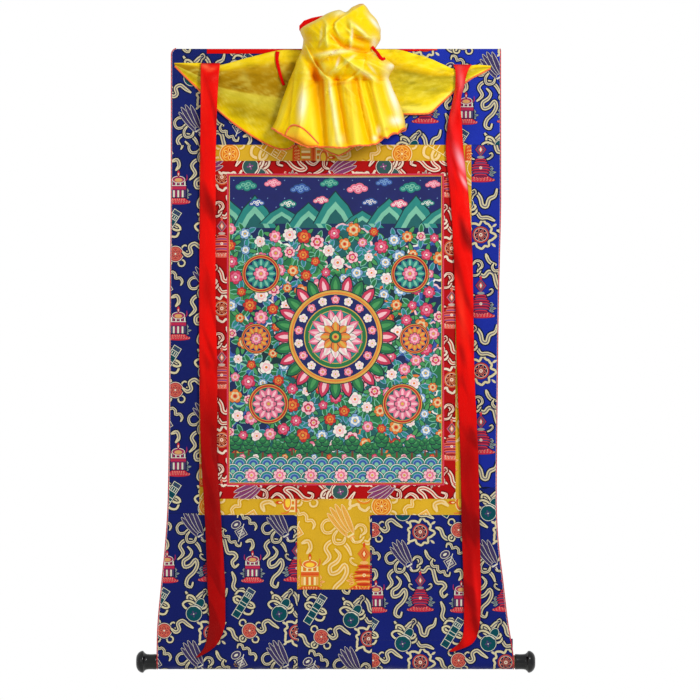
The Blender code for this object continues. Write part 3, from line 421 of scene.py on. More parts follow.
class Drawing:
    """Flat coloured shapes, each one over those before it."""

    def __init__(self):
        self.shapes = []

    def fill(self, colour, points):
        """A closed shape, kept anticlockwise."""
        area = 0.0
        for (x0, z0), (x1, z1) in zip(points, points[1:] + points[:1]):
            area += x0 * z1 - x1 * z0
        if abs(area) > 0.04:
            self.shapes.append(Shape(colour, points if area > 0 else points[::-1]))

    def ellipse(self, colour, x, z, across, high, turn=0.0, count=14):
        """An ellipse from its two radii."""
        ring = [(across * math.cos(angle), high * math.sin(angle)) for angle in turns(count)]
        self.fill(colour, placed(ring, x, z, turn))

    def discs(self, x, z, count, *rings):
        """Discs about one centre, each given by its colour and radius."""
        for colour, radius in rings:
            self.ellipse(colour, x, z, radius, radius, count=count)

    def petal(self, colour, x, z, length, width, turn, start=0.0):
        """A pointed leaf that starts near a place and points along its turn."""
        side = ((0.0, 0.25), (0.3, 0.85), (0.6, 1.0), (0.85, 0.6), (1.0, 0.0))
        outline = [(start + length * a, width / 2 * b) for a, b in side]
        outline += [(start + length * a, -width / 2 * b) for a, b in side[-2::-1]]
        self.fill(colour, placed(outline, x, z, turn))

    def stroke(self, colour, path, width, blunt=0.35, round_ends=True):
        """A band along a path, narrowing at both ends."""
        last = len(path) - 1
        edges = []
        for index, (x, z) in enumerate(path):
            before, after = path[max(index - 1, 0)], path[min(index + 1, last)]
            run = math.dist(before, after) or 1.0
            near = min(index, last - index) / max(2.0, 0.16 * last)
            half = width / 2 * (blunt + (1 - blunt) * min(1.0, near)) if round_ends else width / 2
            across = ((before[1] - after[1]) / run * half, (after[0] - before[0]) / run * half)
            edges.append(((x + across[0], z + across[1]), (x - across[0], z - across[1])))
        for (a, b), (c, d) in zip(edges, edges[1:]):
            bends = [(q[0] - p[0]) * (r[1] - p[1]) - (q[1] - p[1]) * (r[0] - p[0])
                     for p, q, r in ((a, b, d), (b, d, c), (d, c, a), (c, a, b))]
            if min(bends) > 0 or max(bends) < 0:
                self.fill(colour, [a, b, d, c])
            else:
                self.fill(colour, [a, b, d])
                self.fill(colour, [a, d, c])

    def ribbon(self, points, width, step=3.6):
        """A scrolling ribbon with a dark edge and a line along its middle."""
        path = smooth_path(points, step)
        self.stroke("edge", path, width + 5.6, 0.7)
        self.stroke("ribbon", path, width, 0.4)
        self.stroke("line", path[2:-2], width * 0.34, 0.3)

    def loop(self, x, z, length, width, turn, thick):
        """A bow's loop that leaves a place along its turn."""
        rim = ((0.02, 0.1), (0.35, 0.5), (0.75, 0.52), (1.0, 0.0), (0.75, -0.52), (0.35, -0.5), (0.02, -0.1))
        path = smooth_path(placed([(length * a, width * b) for a, b in rim], x, z, turn), 4.0)
        self.stroke("edge", path, thick + 4.4, 0.9)
        self.stroke("ribbon", path, thick, 0.9)

    def stamp(self, other, x, z, turn):
        """Another drawing's shapes, moved here."""
        self.shapes.extend(Shape(shape.colour, placed(shape.points, x, z, turn)) for shape in other.shapes)


def draw_coin():
    """A round medallion with a flower."""
    coin = Drawing()
    for turn in (0.5, 2.3, 4.0, 5.3):
        coin.loop(14 * math.cos(turn), 14 * math.sin(turn), 15, 12, turn, 3.2)
    coin.discs(0, 0, 28, ("edge", 18), ("cream", 16.4))
    coin.discs(0, 0, 24, ("coin", 15.2), ("coin_light", 12.4), ("coin", 11.4))
    for turn in turns(6):
        coin.petal("coin_light", 0, 0, 8, 5, turn, 2.6)
        coin.petal("coin_dark", 0, 0, 5.4, 2.6, turn, 3.4)
    coin.discs(0, 0, 8, ("cream", 2.0))
    return coin


def draw_wheel():
    """A wheel of eight petals in a burst of ribbon."""
    wheel = Drawing()
    burst = []
    for index in range(73):
        angle = math.tau * index / 72
        reach = 25.5 + 2.6 * math.cos(5 * angle + 0.6) + 2.6 * math.cos(8 * angle + 1.1) + 1.4 * math.cos(13 * angle)
        burst.append((reach * math.cos(angle), reach * math.sin(angle)))
    wheel.stroke("edge", burst, 7.0, round_ends=False)
    wheel.stroke("ribbon", burst, 4.6, round_ends=False)
    for turn in (0.6, 2.5, 3.9, 5.6):
        wheel.petal("ribbon", 0, 0, 11, 5, turn, 28)
    wheel.discs(0, 0, 28, ("edge", 18), ("coin", 17))
    wheel.discs(0, 0, 24, ("cream", 13.6), ("edge", 12.8))
    for turn in turns(8, 0.5):
        wheel.petal("coin_light", 0, 0, 9.2, 4.6, turn, 3.2)
        wheel.petal("edge", 0, 0, 6.4, 2.4, turn, 4.4)
    wheel.discs(0, 0, 10, ("cream", 3.6))
    wheel.discs(0, 0, 8, ("coin", 1.8))
    return wheel


def draw_gourd():
    """A double gourd tied at its waist, leaning to the right."""
    gourd = Drawing()
    for turn, length, width in ((2.25, 30, 13), (2.95, 30, 15), (-0.35, 24, 15), (0.1, 21, 10)):
        gourd.loop(6, 15, length, width, turn, 4.2)
    gourd.ribbon([(19, 30), (22, 39), (28, 45), (24, 52), (18, 48)], 2.4, 3.0)
    for colour, across, high in (("edge", 10.6, 13.6), ("cream", 9.4, 12.4), ("gourd", 8.2, 11.2)):
        gourd.ellipse(colour, 12.5, 21, across, high, -0.6)
    gourd.discs(0, 0, 26, ("edge", 18.6), ("cream", 17.2), ("gourd", 16.0))
    gourd.stroke("cream", smooth_path([(-5, 15), (4, 15.5), (13, 9)], 3.0), 2.0, 0.8)
    gourd.stroke("cream", smooth_path([(0, 21), (8, 18), (18, 12)], 3.0), 1.6, 0.8)
    for turn in (0.4, 1.9, 3.3, 4.8):
        gourd.petal("bloom", -0.5, -1, 6.6, 4.0, turn, 0.8)
    gourd.discs(-0.5, -1, 7, ("cream", 1.4))
    return gourd


def box(left, right, foot, top):
    """The corners of a rectangle."""
    return [(left, foot), (right, foot), (right, top), (left, top)]


def draw_flute():
    """A jointed bamboo flute with a bow, upright."""
    flute = Drawing()
    for turn, length, width in ((2.6, 27, 20), (3.3, 24, 13), (-0.5, 28, 19), (0.15, 24, 10)):
        flute.loop(0, 2, length, width, turn, 4.2)
    flute.fill("edge", box(-10, 10, -36, 36))
    flute.fill("cream", box(-8.8, 8.8, -34.8, 34.8))
    for low, high in ((-33.6, -20), (-18.6, -6), (-4.6, 1), (2.4, 14), (15.4, 24), (25.4, 33.6)):
        flute.fill("gourd", box(-7.5, 7.5, low, high))
    for low in (-27.5, -13, 8):
        flute.fill("edge", box(-7.5, 7.5, low, low + 1.1))
    for x in (-4.5, 0.5, 4.8):
        flute.fill("cream", box(x - 0.8, x + 0.8, 16.6, 22.6))
        flute.fill("bloom", box(x - 1.2, x + 1.2, 26.8, 32.0))
    return flute


def draw_fan():
    """A closed parasol of long petals, pointing down."""
    fan = Drawing()
    fan.ribbon([(-8, 4), (-22, 14), (-34, 10), (-36, -2), (-26, -8), (-14, -4)], 5.2)
    fan.ribbon([(-12, -10), (-26, -16), (-30, -28), (-18, -34), (-8, -26)], 5.0)
    fan.ribbon([(10, -26), (20, -22), (28, -28), (26, -38), (16, -40)], 4.6)
    fan.ribbon([(0, -30), (-2, -42), (8, -48), (16, -46)], 4.2)
    for x, top, turn in ((-11.5, 22, 0.16), (-4, 28, 0.06), (4, 28, -0.06), (11.5, 22, -0.16)):
        for colour, grow in (("edge", 2.0), ("cream", 0.9), ("bloom", 0.0)):
            fan.ellipse(colour, x * 0.9, top - 25, 4.2 + grow, 27 + grow, turn)
        fan.ellipse("edge", x * 0.9, top - 24, 1.7, 22, turn)
        fan.ellipse("bloom", x * 0.9, top - 24, 0.8, 19, turn)
    fan.fill("cream", box(-6.5, 6.5, -32, -29))
    fan.fill("bloom", box(-4.5, 4.5, -38, -32))
    fan.fill("cream", box(-1.2, 1.2, -44, -34))
    return fan


def draw_chest():
    """A small latticed box between two curled ribbons."""
    chest = Drawing()
    curl = [(10, 24), (16, 30), (22, 24), (20, 16), (28, 14), (30, 6), (26, 0), (34, -4), (34, -13), (27, -18)]
    chest.ribbon(curl, 5.4, 3.4)
    chest.ribbon([(-x, -z) for x, z in curl], 5.4, 3.4)
    for colour, half in (("edge", 11.5), ("cream", 10.2), ("bloom", 9.2), ("edge", 7.0), ("cream", 6.0),
                         ("bloom", 5.2)):
        chest.fill(colour, box(-half, half, -half - 7, half - 7))
    for level in (-10.6, -6.6, -2.6):
        chest.fill("cream", box(-5.2, 5.2, level - 0.6, level + 0.6))
    for colour, across, high in (("edge", 12.5, 9.5), ("cream", 11.2, 8.2), ("bloom", 10.0, 7.0),
                                 ("edge", 6.5, 4.0), ("cream", 4.8, 2.6)):
        chest.ellipse(colour, 0, 13, across, high)
    chest.stroke("cream", [(-15, -20), (15, 6)], 1.7, 1.0)
    return chest


def draw_lotus_base(base, level, half, high):
    """A fan of lotus petals under an emblem."""
    bowl = []
    for index in range(15):
        angle = math.pi * (1.0 + index / 14)
        bowl.append((half * math.cos(angle), level + high * 0.35 * math.sin(angle)))
    bowl += [(half * 0.55, level + high * 0.62), (0, level + high * 0.8), (-half * 0.55, level + high * 0.62)]
    base.fill("edge", [(x * 1.06, level + (z - level) * 1.14) for x, z in bowl])
    base.fill("base", bowl)
    for index in range(9):
        x = half * (index - 4) / 4.9
        base.petal("base_light", x, level - 1.5, 5.2, 3.4, math.pi / 2 - x / half * 0.9, 0.2)
        base.petal("base_dark", x, level - 0.5, 2.8, 1.6, math.pi / 2 - x / half * 0.9, 0.4)
    for index in range(6):
        x = half * (index - 2.5) / 5.6
        base.petal("base_light", x, level + 3.4, 4.0, 2.8, math.pi / 2 - x / half * 0.7, 0.0)


def draw_side_leaves(emblem, level, reach):
    """Curled leaves at both sides of an emblem."""
    for side in (-1, 1):
        for lift, length, turn in ((0, 15, 0.15), (3, 12, 0.7), (-2, 10, -0.35)):
            angle = turn if side > 0 else math.pi - turn
            emblem.petal("edge", side * reach, level + lift, length + 1.5, 7, angle)
            emblem.petal("leaf", side * reach, level + lift, length, 5, angle)
            emblem.petal("leaf_dark", side * reach, level + lift, length * 0.6, 2, angle, 2)
        emblem.discs(side * (reach + 4), level + 11, 10, ("leaf", 3.4))
        emblem.discs(side * (reach + 4), level + 11, 8, ("edge", 1.6))


def draw_canopy():
    """A little canopy with hangings, on a lotus."""
    canopy = Drawing()
    draw_side_leaves(canopy, -13, 12)
    draw_lotus_base(canopy, -27, 24, 13)
    canopy.fill("edge", box(-17.5, 17.5, -19, 24))
    for index, colour in enumerate(("bloom", "cream", "canopy", "cream", "canopy", "cream", "bloom")):
        left = -15.5 + index * 31 / 7
        canopy.fill(colour, box(left, left + 3.6, -17, -3))
        canopy.fill("canopy" if colour == "cream" else "cream", box(left + 0.4, left + 3.2, 7.5, 17))
    canopy.fill("canopy", box(-15.5, 15.5, -2.2, 6.0))
    canopy.fill("base", box(-15.5, 15.5, 0.6, 3.2))
    canopy.fill("cream", box(-15.5, 15.5, 6.0, 7.4))
    canopy.ellipse("cream", 0, 19, 13.5, 7.5)
    canopy.ellipse("canopy", 0, 19, 12.2, 6.2)
    canopy.ellipse("gold", 0, 18, 8.0, 4.0)
    for side in (-1, 1):
        canopy.stroke("canopy", smooth_path([(side * 12, 15), (side * 17, 20), (side * 17, 29)], 3.0), 2.6, 0.4)
    canopy.petal("edge", 0, 24, 16, 8, math.pi / 2)
    canopy.petal("base", 0, 25, 13, 5.5, math.pi / 2)
    canopy.petal("cream", 0, 27, 6, 2.4, math.pi / 2)
    return canopy


def draw_vase():
    """A banded vase with a jewel on top, on a lotus."""
    vase = Drawing()
    draw_side_leaves(vase, -17, 17)
    draw_lotus_base(vase, -31, 29, 12)
    for side in (-1, 1):
        vase.ribbon([(side * 9, 10), (side * 18, 13), (side * 24, 19), (side * 22, 24), (side * 17, 22)], 3.2, 3.2)
    widths = (11, 13, 17, 19, 18.5, 16.5, 13.5)
    for index, half in enumerate(widths):
        top = 12 - index * 5.2
        vase.ellipse("edge", 0, top - 2.4, half + 2.2, 4.6, count=18)
    for index, half in enumerate(widths):
        top = 12 - index * 5.2
        vase.ellipse("base", 0, top - 2.4, half, 3.4, count=18)
        vase.ellipse("bloom" if index % 2 else "base_dark", 0, top - 3.2, half - 1.6, 1.9, count=18)
    vase.discs(0, -6, 9, ("cream", 3.0))
    vase.discs(0, -6, 7, ("base", 1.3))
    for colour, grow in (("edge", 2.2), ("canopy", 0.8), ("leaf_dark", -2.0), ("base", -5.0), ("cream", -8.0)):
        across, high = 10.5 + grow, 13.5 + grow
        vase.fill(colour, [(0, 31 - high), (across, 31), (0, 31 + high), (-across, 31)])
    vase.petal("base", 0, 42, 9, 5, math.pi / 2)
    vase.ellipse("leaf", 0, 15.5, 7.5, 3.0)
    return vase


# Places of the emblems and loose ribbons in one repeat, x to the right and down from its top, in mm
DRAWN_WIDTH, DRAWN_HEIGHT = 181, 276
Emblem = namedtuple("Emblem", "draw x down turn")
EMBLEMS = tuple(starmap(Emblem, (
    (draw_coin, 17, 1, 0.0), (draw_wheel, 117, 5, 0.0), (draw_fan, 78, 50, 0.55), (draw_chest, 176, 64, 0.55),
    (draw_canopy, 23, 145, 0.0), (draw_vase, 117, 139, 0.0), (draw_gourd, 80, 241, 0.0),
    (draw_flute, 185, 219, -0.56),
)))
RIBBONS = (
    ((45, 127), (57, 114), (50, 98), (59, 87), (75, 86), (88, 96), (95, 112)),
    ((66, 99), (75, 110), (70, 121), (58, 130), (60, 142), (72, 139), (83, 127), (87, 138), (80, 153), (67, 166),
     (64, 180), (74, 185), (78, 174)),
    ((99, 66), (108, 59), (116, 68), (113, 83), (124, 89), (133, 80), (143, 84), (147, 98), (152, 112), (164, 113),
     (170, 121), (161, 132), (166, 143), (175, 136)),
    ((127, 43), (132, 56), (139, 63), (149, 66)),
    ((160, 152), (166, 168), (163, 184), (172, 193), (184, 190), (189, 203)),
    ((62, 194), (70, 204), (84, 209), (96, 199), (107, 196), (116, 206), (120, 221), (129, 223), (134, 209),
     (146, 202), (150, 187)),
    ((100, 240), (109, 236), (117, 246), (131, 246), (146, 253)),
    ((31, 272), (41, 280), (49, 275), (46, 262), (56, 256), (67, 264), (79, 272)),
    ((149, 272), (160, 276), (166, 290), (176, 296), (186, 288)),
    ((8, 90), (20, 86), (24, 98), (17, 108)),
)


def draw_repeat(width, height):
    """One repeat of the brocade: eight emblems and the ribbons between them."""
    repeat = Drawing()
    for number, points in enumerate(RIBBONS):
        path = [(x * width / DRAWN_WIDTH, -down * height / DRAWN_HEIGHT) for x, down in points]
        repeat.ribbon(path, 7.0 + 1.2 * (number % 3) / 2)
    for draw, x, down, turn in EMBLEMS:
        repeat.stamp(draw(), x * width / DRAWN_WIDTH, -down * height / DRAWN_HEIGHT, turn)
    return repeat


def lay_repeat(repeat, size, corner, area, scale=1.0, turn=0):
    """The repeat over an area (left, right, foot, top), from its top left corner, given quarter turns."""
    left, right, foot, top = area
    wide, high = size[0] * scale, size[1] * scale
    if turn:
        wide, high = high, wide
    along, aside = (0.0, float(turn)) if turn else (1.0, 0.0)
    shapes = []
    margin = 50 * scale
    for column in range(math.floor((left - corner[0] - margin) / wide) - 1,
                        math.ceil((right - corner[0] + margin) / wide) + 1):
        for row in range(math.floor((foot - corner[1] - margin) / high) - 1,
                         math.ceil((top - corner[1] + margin) / high) + 2):
            x0, z0 = corner[0] + column * wide, corner[1] + row * high
            for shape in repeat.shapes:
                points = [(x0 + (x * along - z * aside) * scale, z0 + (x * aside + z * along) * scale)
                          for x, z in shape.points]
                if (max(p[0] for p in points) > left and min(p[0] for p in points) < right
                        and max(p[1] for p in points) > foot and min(p[1] for p in points) < top):
                    shapes.append(Shape(shape.colour, points, area))
    return shapes


# Colours

def linear(colour):
    """Screen colour to the scene's linear one."""
    return tuple(part / 12.92 if part <= 0.04045 else ((part + 0.055) / 1.055) ** 2.4 for part in colour)


def tone(red, green, blue):
    """A linear colour from screen values up to 255."""
    return linear((red / 255, green / 255, blue / 255))


def blend_colours(first, second, part):
    """A mix of two colours."""
    part = held(part)
    return tuple(a + (b - a) * part for a, b in zip(first, second))


def darker(colour_value, part):
    """A colour with part of its light."""
    return tuple(channel * part for channel in colour_value)


def paints(names, *shades):
    """Linear colours by name from screen values up to 255."""
    return {name: tone(*shade) for name, shade in zip(names.split(), shades)}


THREADS = ("edge ribbon line cream coin coin_light coin_dark gourd bloom base base_light base_dark"
           " canopy gold leaf leaf_dark")
BLUE_THREADS = paints(
    THREADS,
    (7, 7, 34), (214, 202, 154), (112, 104, 104), (222, 216, 190), (176, 62, 40), (226, 116, 70), (120, 32, 34),
    (2, 70, 66), (74, 58, 94), (196, 34, 34), (232, 128, 104), (108, 12, 36), (156, 30, 74), (214, 160, 84),
    (140, 146, 136), (40, 84, 84))
YELLOW_THREADS = paints(
    THREADS,
    (204, 154, 8), (240, 208, 146), (222, 166, 60), (246, 222, 160), (230, 128, 26), (250, 196, 96),
    (206, 72, 20), (212, 150, 10), (236, 168, 84), (214, 62, 20), (244, 168, 96), (186, 30, 20), (224, 104, 44),
    (250, 206, 60), (240, 178, 104), (218, 120, 50))
CRIMSON_THREADS = paints(
    THREADS,
    (112, 0, 10), (236, 220, 196), (190, 70, 60), (240, 226, 204), (206, 92, 52), (236, 150, 104),
    (138, 20, 24), (0, 88, 86), (132, 78, 132), (226, 104, 84), (240, 190, 168), (150, 20, 30), (214, 80, 110),
    (230, 176, 90), (196, 172, 160), (40, 100, 96))


# Cloth whose pattern is woven into its own faces

def flat_colours(outline, window, shapes, threads, ground):
    """Triangles of the flat cloth with the colour of the topmost shape on each, or None off the cloth."""
    flat, loops, limits = [], [], []
    cloths = [outline, window] if window else [outline]
    for shape in [Shape("cloth", points) for points in cloths] + shapes:
        loops.append(list(range(len(flat), len(flat) + len(shape.points))))
        flat.extend(Vector(point) for point in shape.points)
        across, high = zip(*shape.points)
        left, right, foot, top = shape.area or (min(across), max(across), min(high), max(high))
        limits.append((max(left, min(across)), min(right, max(across)), max(foot, min(high)), min(top, max(high))))
    points, _, faces, _, _, sources = delaunay_2d_cdt(flat, [], loops, 1, 1e-4, True)
    face_colours = []
    for face, source in zip(faces, sources):
        if 0 not in source or (window and 1 in source):
            face_colours.append(None)
            continue
        a, b, c = (points[index] for index in face)
        x, z = (a + b + c) / 3
        owners = [index for index in source if index >= len(cloths)
                  and limits[index][0] <= x <= limits[index][1] and limits[index][2] <= z <= limits[index][3]]
        owner = shapes[max(owners) - len(cloths)].colour if owners else "ground"
        face_colours.append((*threads.get(owner, ground), 0.0 if owner.startswith("ground") else 1.0))
    return points, faces, face_colours


def pattern_mesh(name, outline, window, shapes, threads, ground, reverse, place, spacing, extra=(), is_cloth=None):
    """A closed sheet with the drawing on its face.

    outline, window and shapes are in millimetres on the flat cloth, and
    place(x, z, front) gives where a point of the flat cloth hangs.
    """
    drawn, drawn_faces, face_colours = flat_colours(outline, window, shapes, threads, ground)
    beside = {}
    for face, dye in zip(drawn_faces, face_colours):
        for pair in zip(face, face[1:] + face[:1]):
            beside.setdefault(tuple(sorted(pair)), []).append(dye)
    kept = [pair for pair, sides in beside.items() if len(sides) == 1 or sides[0] != sides[1]]
    numbers = {}
    for pair in kept:
        for index in pair:
            numbers.setdefault(index, len(numbers))
    flat = [drawn[index] for index in numbers]
    left, right = min(p[0] for p in outline), max(p[0] for p in outline)
    foot, top = min(p[1] for p in outline), max(p[1] for p in outline)
    across, down = max(2, round((right - left) / spacing)), max(2, round((top - foot) / spacing))
    mesh_points = [Vector((x, z)) for x in spaced(left, right, across)[1:-1] for z in spaced(foot, top, down)[1:-1]]
    mesh_points += [Vector((x, z)) for x in spaced(left, right, across)[1:-1] for z in extra]
    if is_cloth:
        mesh_points = [p for p in mesh_points if is_cloth(p.x, p.y)]
    edges = [(numbers[a], numbers[b]) for a, b in kept]
    points, _, faces, _, _, _ = delaunay_2d_cdt(flat + mesh_points, edges, [], 0, 1e-4, True)
    lookup = BVHTree.FromPolygons([(x, z, 0.0) for x, z in drawn], drawn_faces)

    built = bmesh.new()
    fronts = [None] * len(points)
    colours = []
    area = 0.0
    for face in faces:
        a, b, c = (points[index] for index in face)
        size = 0.5 * abs((b - a).cross(c - a))
        if size < 1e-7:
            continue
        _, _, index, distance = lookup.find_nearest((*((a + b + c) / 3), 0.0))
        if distance > 1e-3 or face_colours[index] is None:
            continue
        area += size * MM * MM
        for corner in face:
            if fronts[corner] is None:
                fronts[corner] = built.verts.new(place(points[corner].x * MM, points[corner].y * MM, True))
        built.faces.new([fronts[corner] for corner in face])
        colours.append(face_colours[index])
    where = {vert: points[index] for index, vert in enumerate(fronts) if vert is not None}
    rim = [edge for edge in built.edges if edge.is_boundary]
    order = {}
    for edge in rim:
        for vert in edge.verts:
            order.setdefault(vert, len(order))
    backs = {}
    for vert in order:
        backs[vert] = built.verts.new(place(where[vert].x * MM, where[vert].y * MM, False))
    for edge in rim:
        a, b = edge.verts
        built.faces.new((a, b, backs[b], backs[a]))
        colours.append((*ground, 0.0))
    edge_points = [where[vert] for vert in order]
    edges = [(order[edge.verts[0]], order[edge.verts[1]]) for edge in rim]
    points, _, faces, origins, _, _ = delaunay_2d_cdt(edge_points + mesh_points, edges, [], 0, 1e-5, True)
    ordered = list(order)
    hidden = []
    for point, origin in zip(points, origins):
        known = [index for index in origin if index < len(ordered)]
        hidden.append(backs[ordered[known[0]]] if known
                      else built.verts.new(place(point.x * MM, point.y * MM, False)))
    for face in faces:
        middle = sum((points[index] for index in face), Vector((0.0, 0.0))) / 3
        a, b, c = (points[index] for index in face)
        corners = [hidden[index] for index in face][::-1]
        if len(set(corners)) < 3 or abs((b - a).cross(c - a)) < 1e-6 or (is_cloth and not is_cloth(*middle)):
            continue
        if built.faces.get(corners) is None:
            built.faces.new(corners)
            colours.append((*reverse, 0.0))
    loose = [vert for vert in built.verts if not vert.link_faces]
    bmesh.ops.delete(built, geom=loose, context="VERTS")
    bmesh.ops.recalc_face_normals(built, faces=built.faces)
    mesh = bpy.data.meshes.new(name)
    built.to_mesh(mesh)
    built.free()
    paint_faces(mesh, colours)
    mesh.shade_smooth()
    mesh.set_sharp_from_angle(angle=math.radians(40))
    return mesh, area


def paint_faces(mesh, colours):
    """Thread colours by face, with the share of pattern thread beside them."""
    dye = mesh.color_attributes.new("dye", "FLOAT_COLOR", "CORNER")
    values = []
    thread = []
    for polygon, colour in zip(mesh.polygons, colours):
        for _ in range(polygon.loop_total):
            values.extend((*colour[:3], 1.0))
        thread.append(colour[3])
    dye.data.foreach_set("color", values)
    marks = mesh.attributes.new("thread", "FLOAT", "FACE")
    marks.data.foreach_set("value", thread)


def paint_points(mesh, colours):
    """Silk colours by point, painted light and shade included."""
    dye = mesh.color_attributes.new("dye", "FLOAT_COLOR", "POINT")
    values = []
    for colour in colours:
        values.extend((*colour, 1.0))
    dye.data.foreach_set("color", values)


def smooth_mesh(name, points, faces):
    """A smooth mesh from its points and faces."""
    mesh = bpy.data.meshes.new(name)
    mesh.from_pydata(points, [], faces)
    mesh.shade_smooth()
    return mesh


def grid_faces(rows, columns, reverse=False):
    """Quads between the rows of a grid of points, which has one point more than columns in a row."""
    step = columns + 1
    starts = [row * step + column for row in range(rows) for column in range(columns)]
    if reverse:
        return [(a, a + 1, a + step + 1, a + step) for a in starts]
    return [(a, a + step, a + step + 1, a + 1) for a in starts]


def join_mesh(points, faces, more, more_faces):
    """More points and faces added to the first ones."""
    faces.extend(tuple(index + len(points) for index in face) for face in more_faces)
    points.extend(more)


def thicken(piece, thickness, offset):
    """Gives a one-sided cloth its thickness."""
    solid = piece.modifiers.new("thickness", "SOLIDIFY")
    solid.thickness = thickness
    solid.offset = offset


def finish_solid(name, finish):
    """A finish on a solid that stays as it is."""
    for material_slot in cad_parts[name].material_slots:
        material_slot.material = finish


def add_piece(mesh, material, slot, *nodes):
    """A piece of the scroll named as its mesh, in place of its solids."""
    mesh.materials.append(material)
    piece = bpy.data.objects.new(mesh.name, mesh)
    bpy.context.scene.collection.objects.link(piece)
    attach(piece, "root")
    if nodes:
        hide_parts(*nodes)
    return piece


# Shader nodes

def node(tree, kind, feeds=None, **values):
    """A node with its properties set, and its inputs fed by sockets or given plain values."""
    made = tree.nodes.new(kind)
    made.location = (len(tree.nodes) % 6 * 220 - 1100, len(tree.nodes) // 6 * -260 + 400)
    for name, value in values.items():
        setattr(made, name, value)
    for name, value in (feeds or {}).items():
        if isinstance(value, bpy.types.NodeSocket):
            tree.links.new(value, made.inputs[name])
        else:
            made.inputs[name].default_value = value
    return made


def maths(tree, operation, *terms):
    """A math node's result from sockets or numbers."""
    return node(tree, "ShaderNodeMath", dict(enumerate(terms)), operation=operation).outputs[0]


def object_place(tree):
    """The place on the object that a texture is laid by."""
    return node(tree, "ShaderNodeTexCoord").outputs["Object"]


def new_group(name, inputs, outputs):
    """An empty node group with named inputs as (name, value, lowest, highest) and its two ends."""
    group = bpy.data.node_groups.new(name, "ShaderNodeTree")
    for title, value, *limits in inputs:
        made = group.interface.new_socket(name=title, in_out="INPUT",
                                          socket_type="NodeSocket" + ("Float" if limits else "Color"))
        made.default_value = value
        if limits:
            made.min_value, made.max_value = limits
    for title in outputs:
        group.interface.new_socket(name=title, in_out="OUTPUT",
                                   socket_type="NodeSocket" + ("Color" if title == "Color" else "Float"))
    return group, node(group, "NodeGroupInput").outputs, node(group, "NodeGroupOutput").inputs


def weave_group():
    """Crossed threads: their height and the shade between them."""
    name = "crossed threads"
    if name in bpy.data.node_groups:
        return bpy.data.node_groups[name]
    inputs = (("Pitch", 0.0006, 0.0001, 0.01), ("Turn", 0.0, -7.0, 7.0), ("Unevenness", 0.6, 0.0, 10.0))
    group, given, ends = new_group(name, inputs, ("Height", "Shade"))
    turn = node(group, "ShaderNodeCombineXYZ", {"Y": given["Turn"]})
    lay = node(group, "ShaderNodeMapping", {"Vector": object_place(group), "Rotation": turn.outputs[0]})
    scale = maths(group, "DIVIDE", 0.314159, given["Pitch"])
    waves = [node(group, "ShaderNodeTexWave", {"Vector": lay.outputs[0], "Scale": scale,
                                               "Distortion": given["Unevenness"], "Detail Scale": 0.02},
                  wave_type="BANDS", bands_direction=direction).outputs["Fac"] for direction in "XZ"]
    cross = maths(group, "MULTIPLY", *waves)
    group.links.new(cross, ends["Height"])
    group.links.new(maths(group, "MULTIPLY_ADD", cross, 0.3, 0.82), ends["Shade"])
    return group


def mottle_group():
    """A colour that varies a little over the cloth, as dye and handling leave it."""
    name = "uneven dye"
    if name in bpy.data.node_groups:
        return bpy.data.node_groups[name]
    inputs = (("Color", (0.5, 0.5, 0.5, 1.0)), ("Amount", 0.2, 0.0, 1.0), ("Size", 0.05, 0.0005, 2.0),
              ("Shade", 1.0, 0.0, 2.0))
    group, given, ends = new_group(name, inputs, ("Color", "Patches"))
    blot = node(group, "ShaderNodeTexNoise", {"Vector": object_place(group), "Detail": 5.0,
                                              "Scale": maths(group, "DIVIDE", 1.0, given["Size"])}).outputs["Fac"]
    spread = maths(group, "MULTIPLY", maths(group, "SUBTRACT", blot, 0.5), given["Amount"])
    gain = maths(group, "MULTIPLY", maths(group, "MULTIPLY_ADD", spread, 2.0, 1.0), given["Shade"])
    tint = node(group, "ShaderNodeVectorMath", {0: given["Color"], "Scale": gain}, operation="SCALE")
    group.links.new(tint.outputs[0], ends["Color"])
    group.links.new(blot, ends["Patches"])
    return group


def wrinkle_group():
    """Small soft wrinkles, longer one way than the other."""
    name = "soft wrinkles"
    if name in bpy.data.node_groups:
        return bpy.data.node_groups[name]
    group, given, ends = new_group(name, (("Size", 0.01, 0.0005, 1.0), ("Across", 1.0, 0.05, 20.0)), ("Height",))
    stretch = node(group, "ShaderNodeCombineXYZ", {"X": given["Across"], "Y": 1.0, "Z": 1.0})
    lay = node(group, "ShaderNodeVectorMath", {0: object_place(group), 1: stretch.outputs[0]}, operation="MULTIPLY")
    creased = node(group, "ShaderNodeTexNoise", {"Vector": lay.outputs[0], "Detail": 3.0,
                                                 "Scale": maths(group, "DIVIDE", 1.0, given["Size"])})
    group.links.new(creased.outputs["Fac"], ends["Height"])
    return group


def use_group(tree, group, **feeds):
    """The outputs of a node group used in a material with its own values."""
    return node(tree, "ShaderNodeGroup", feeds, node_tree=group).outputs


def dye_and_painted_light_of(tree):
    """The colour that the mesh carries."""
    return node(tree, "ShaderNodeAttribute", attribute_name="dye").outputs["Color"]


def new_finish(name, **values):
    """A material with its shader, whose plain values are set on the shader itself."""
    material = bpy.data.materials.new(name)
    material.use_nodes = True
    shader = material.node_tree.nodes["Principled BSDF"]
    for key, value in values.items():
        shader.inputs[key.replace("_", " ")].default_value = value
    return material, material.node_tree, shader


def end_finish(tree, shader, colours, rough, height, strength, distance):
    """The colour, roughness and relief fed to the shader."""
    tree.links.new(colours, shader.inputs["Base Color"])
    if rough is not None:
        tree.links.new(rough, shader.inputs["Roughness"])
    bump = node(tree, "ShaderNodeBump", {"Strength": strength, "Distance": distance, "Height": height})
    tree.links.new(bump.outputs["Normal"], shader.inputs["Normal"])


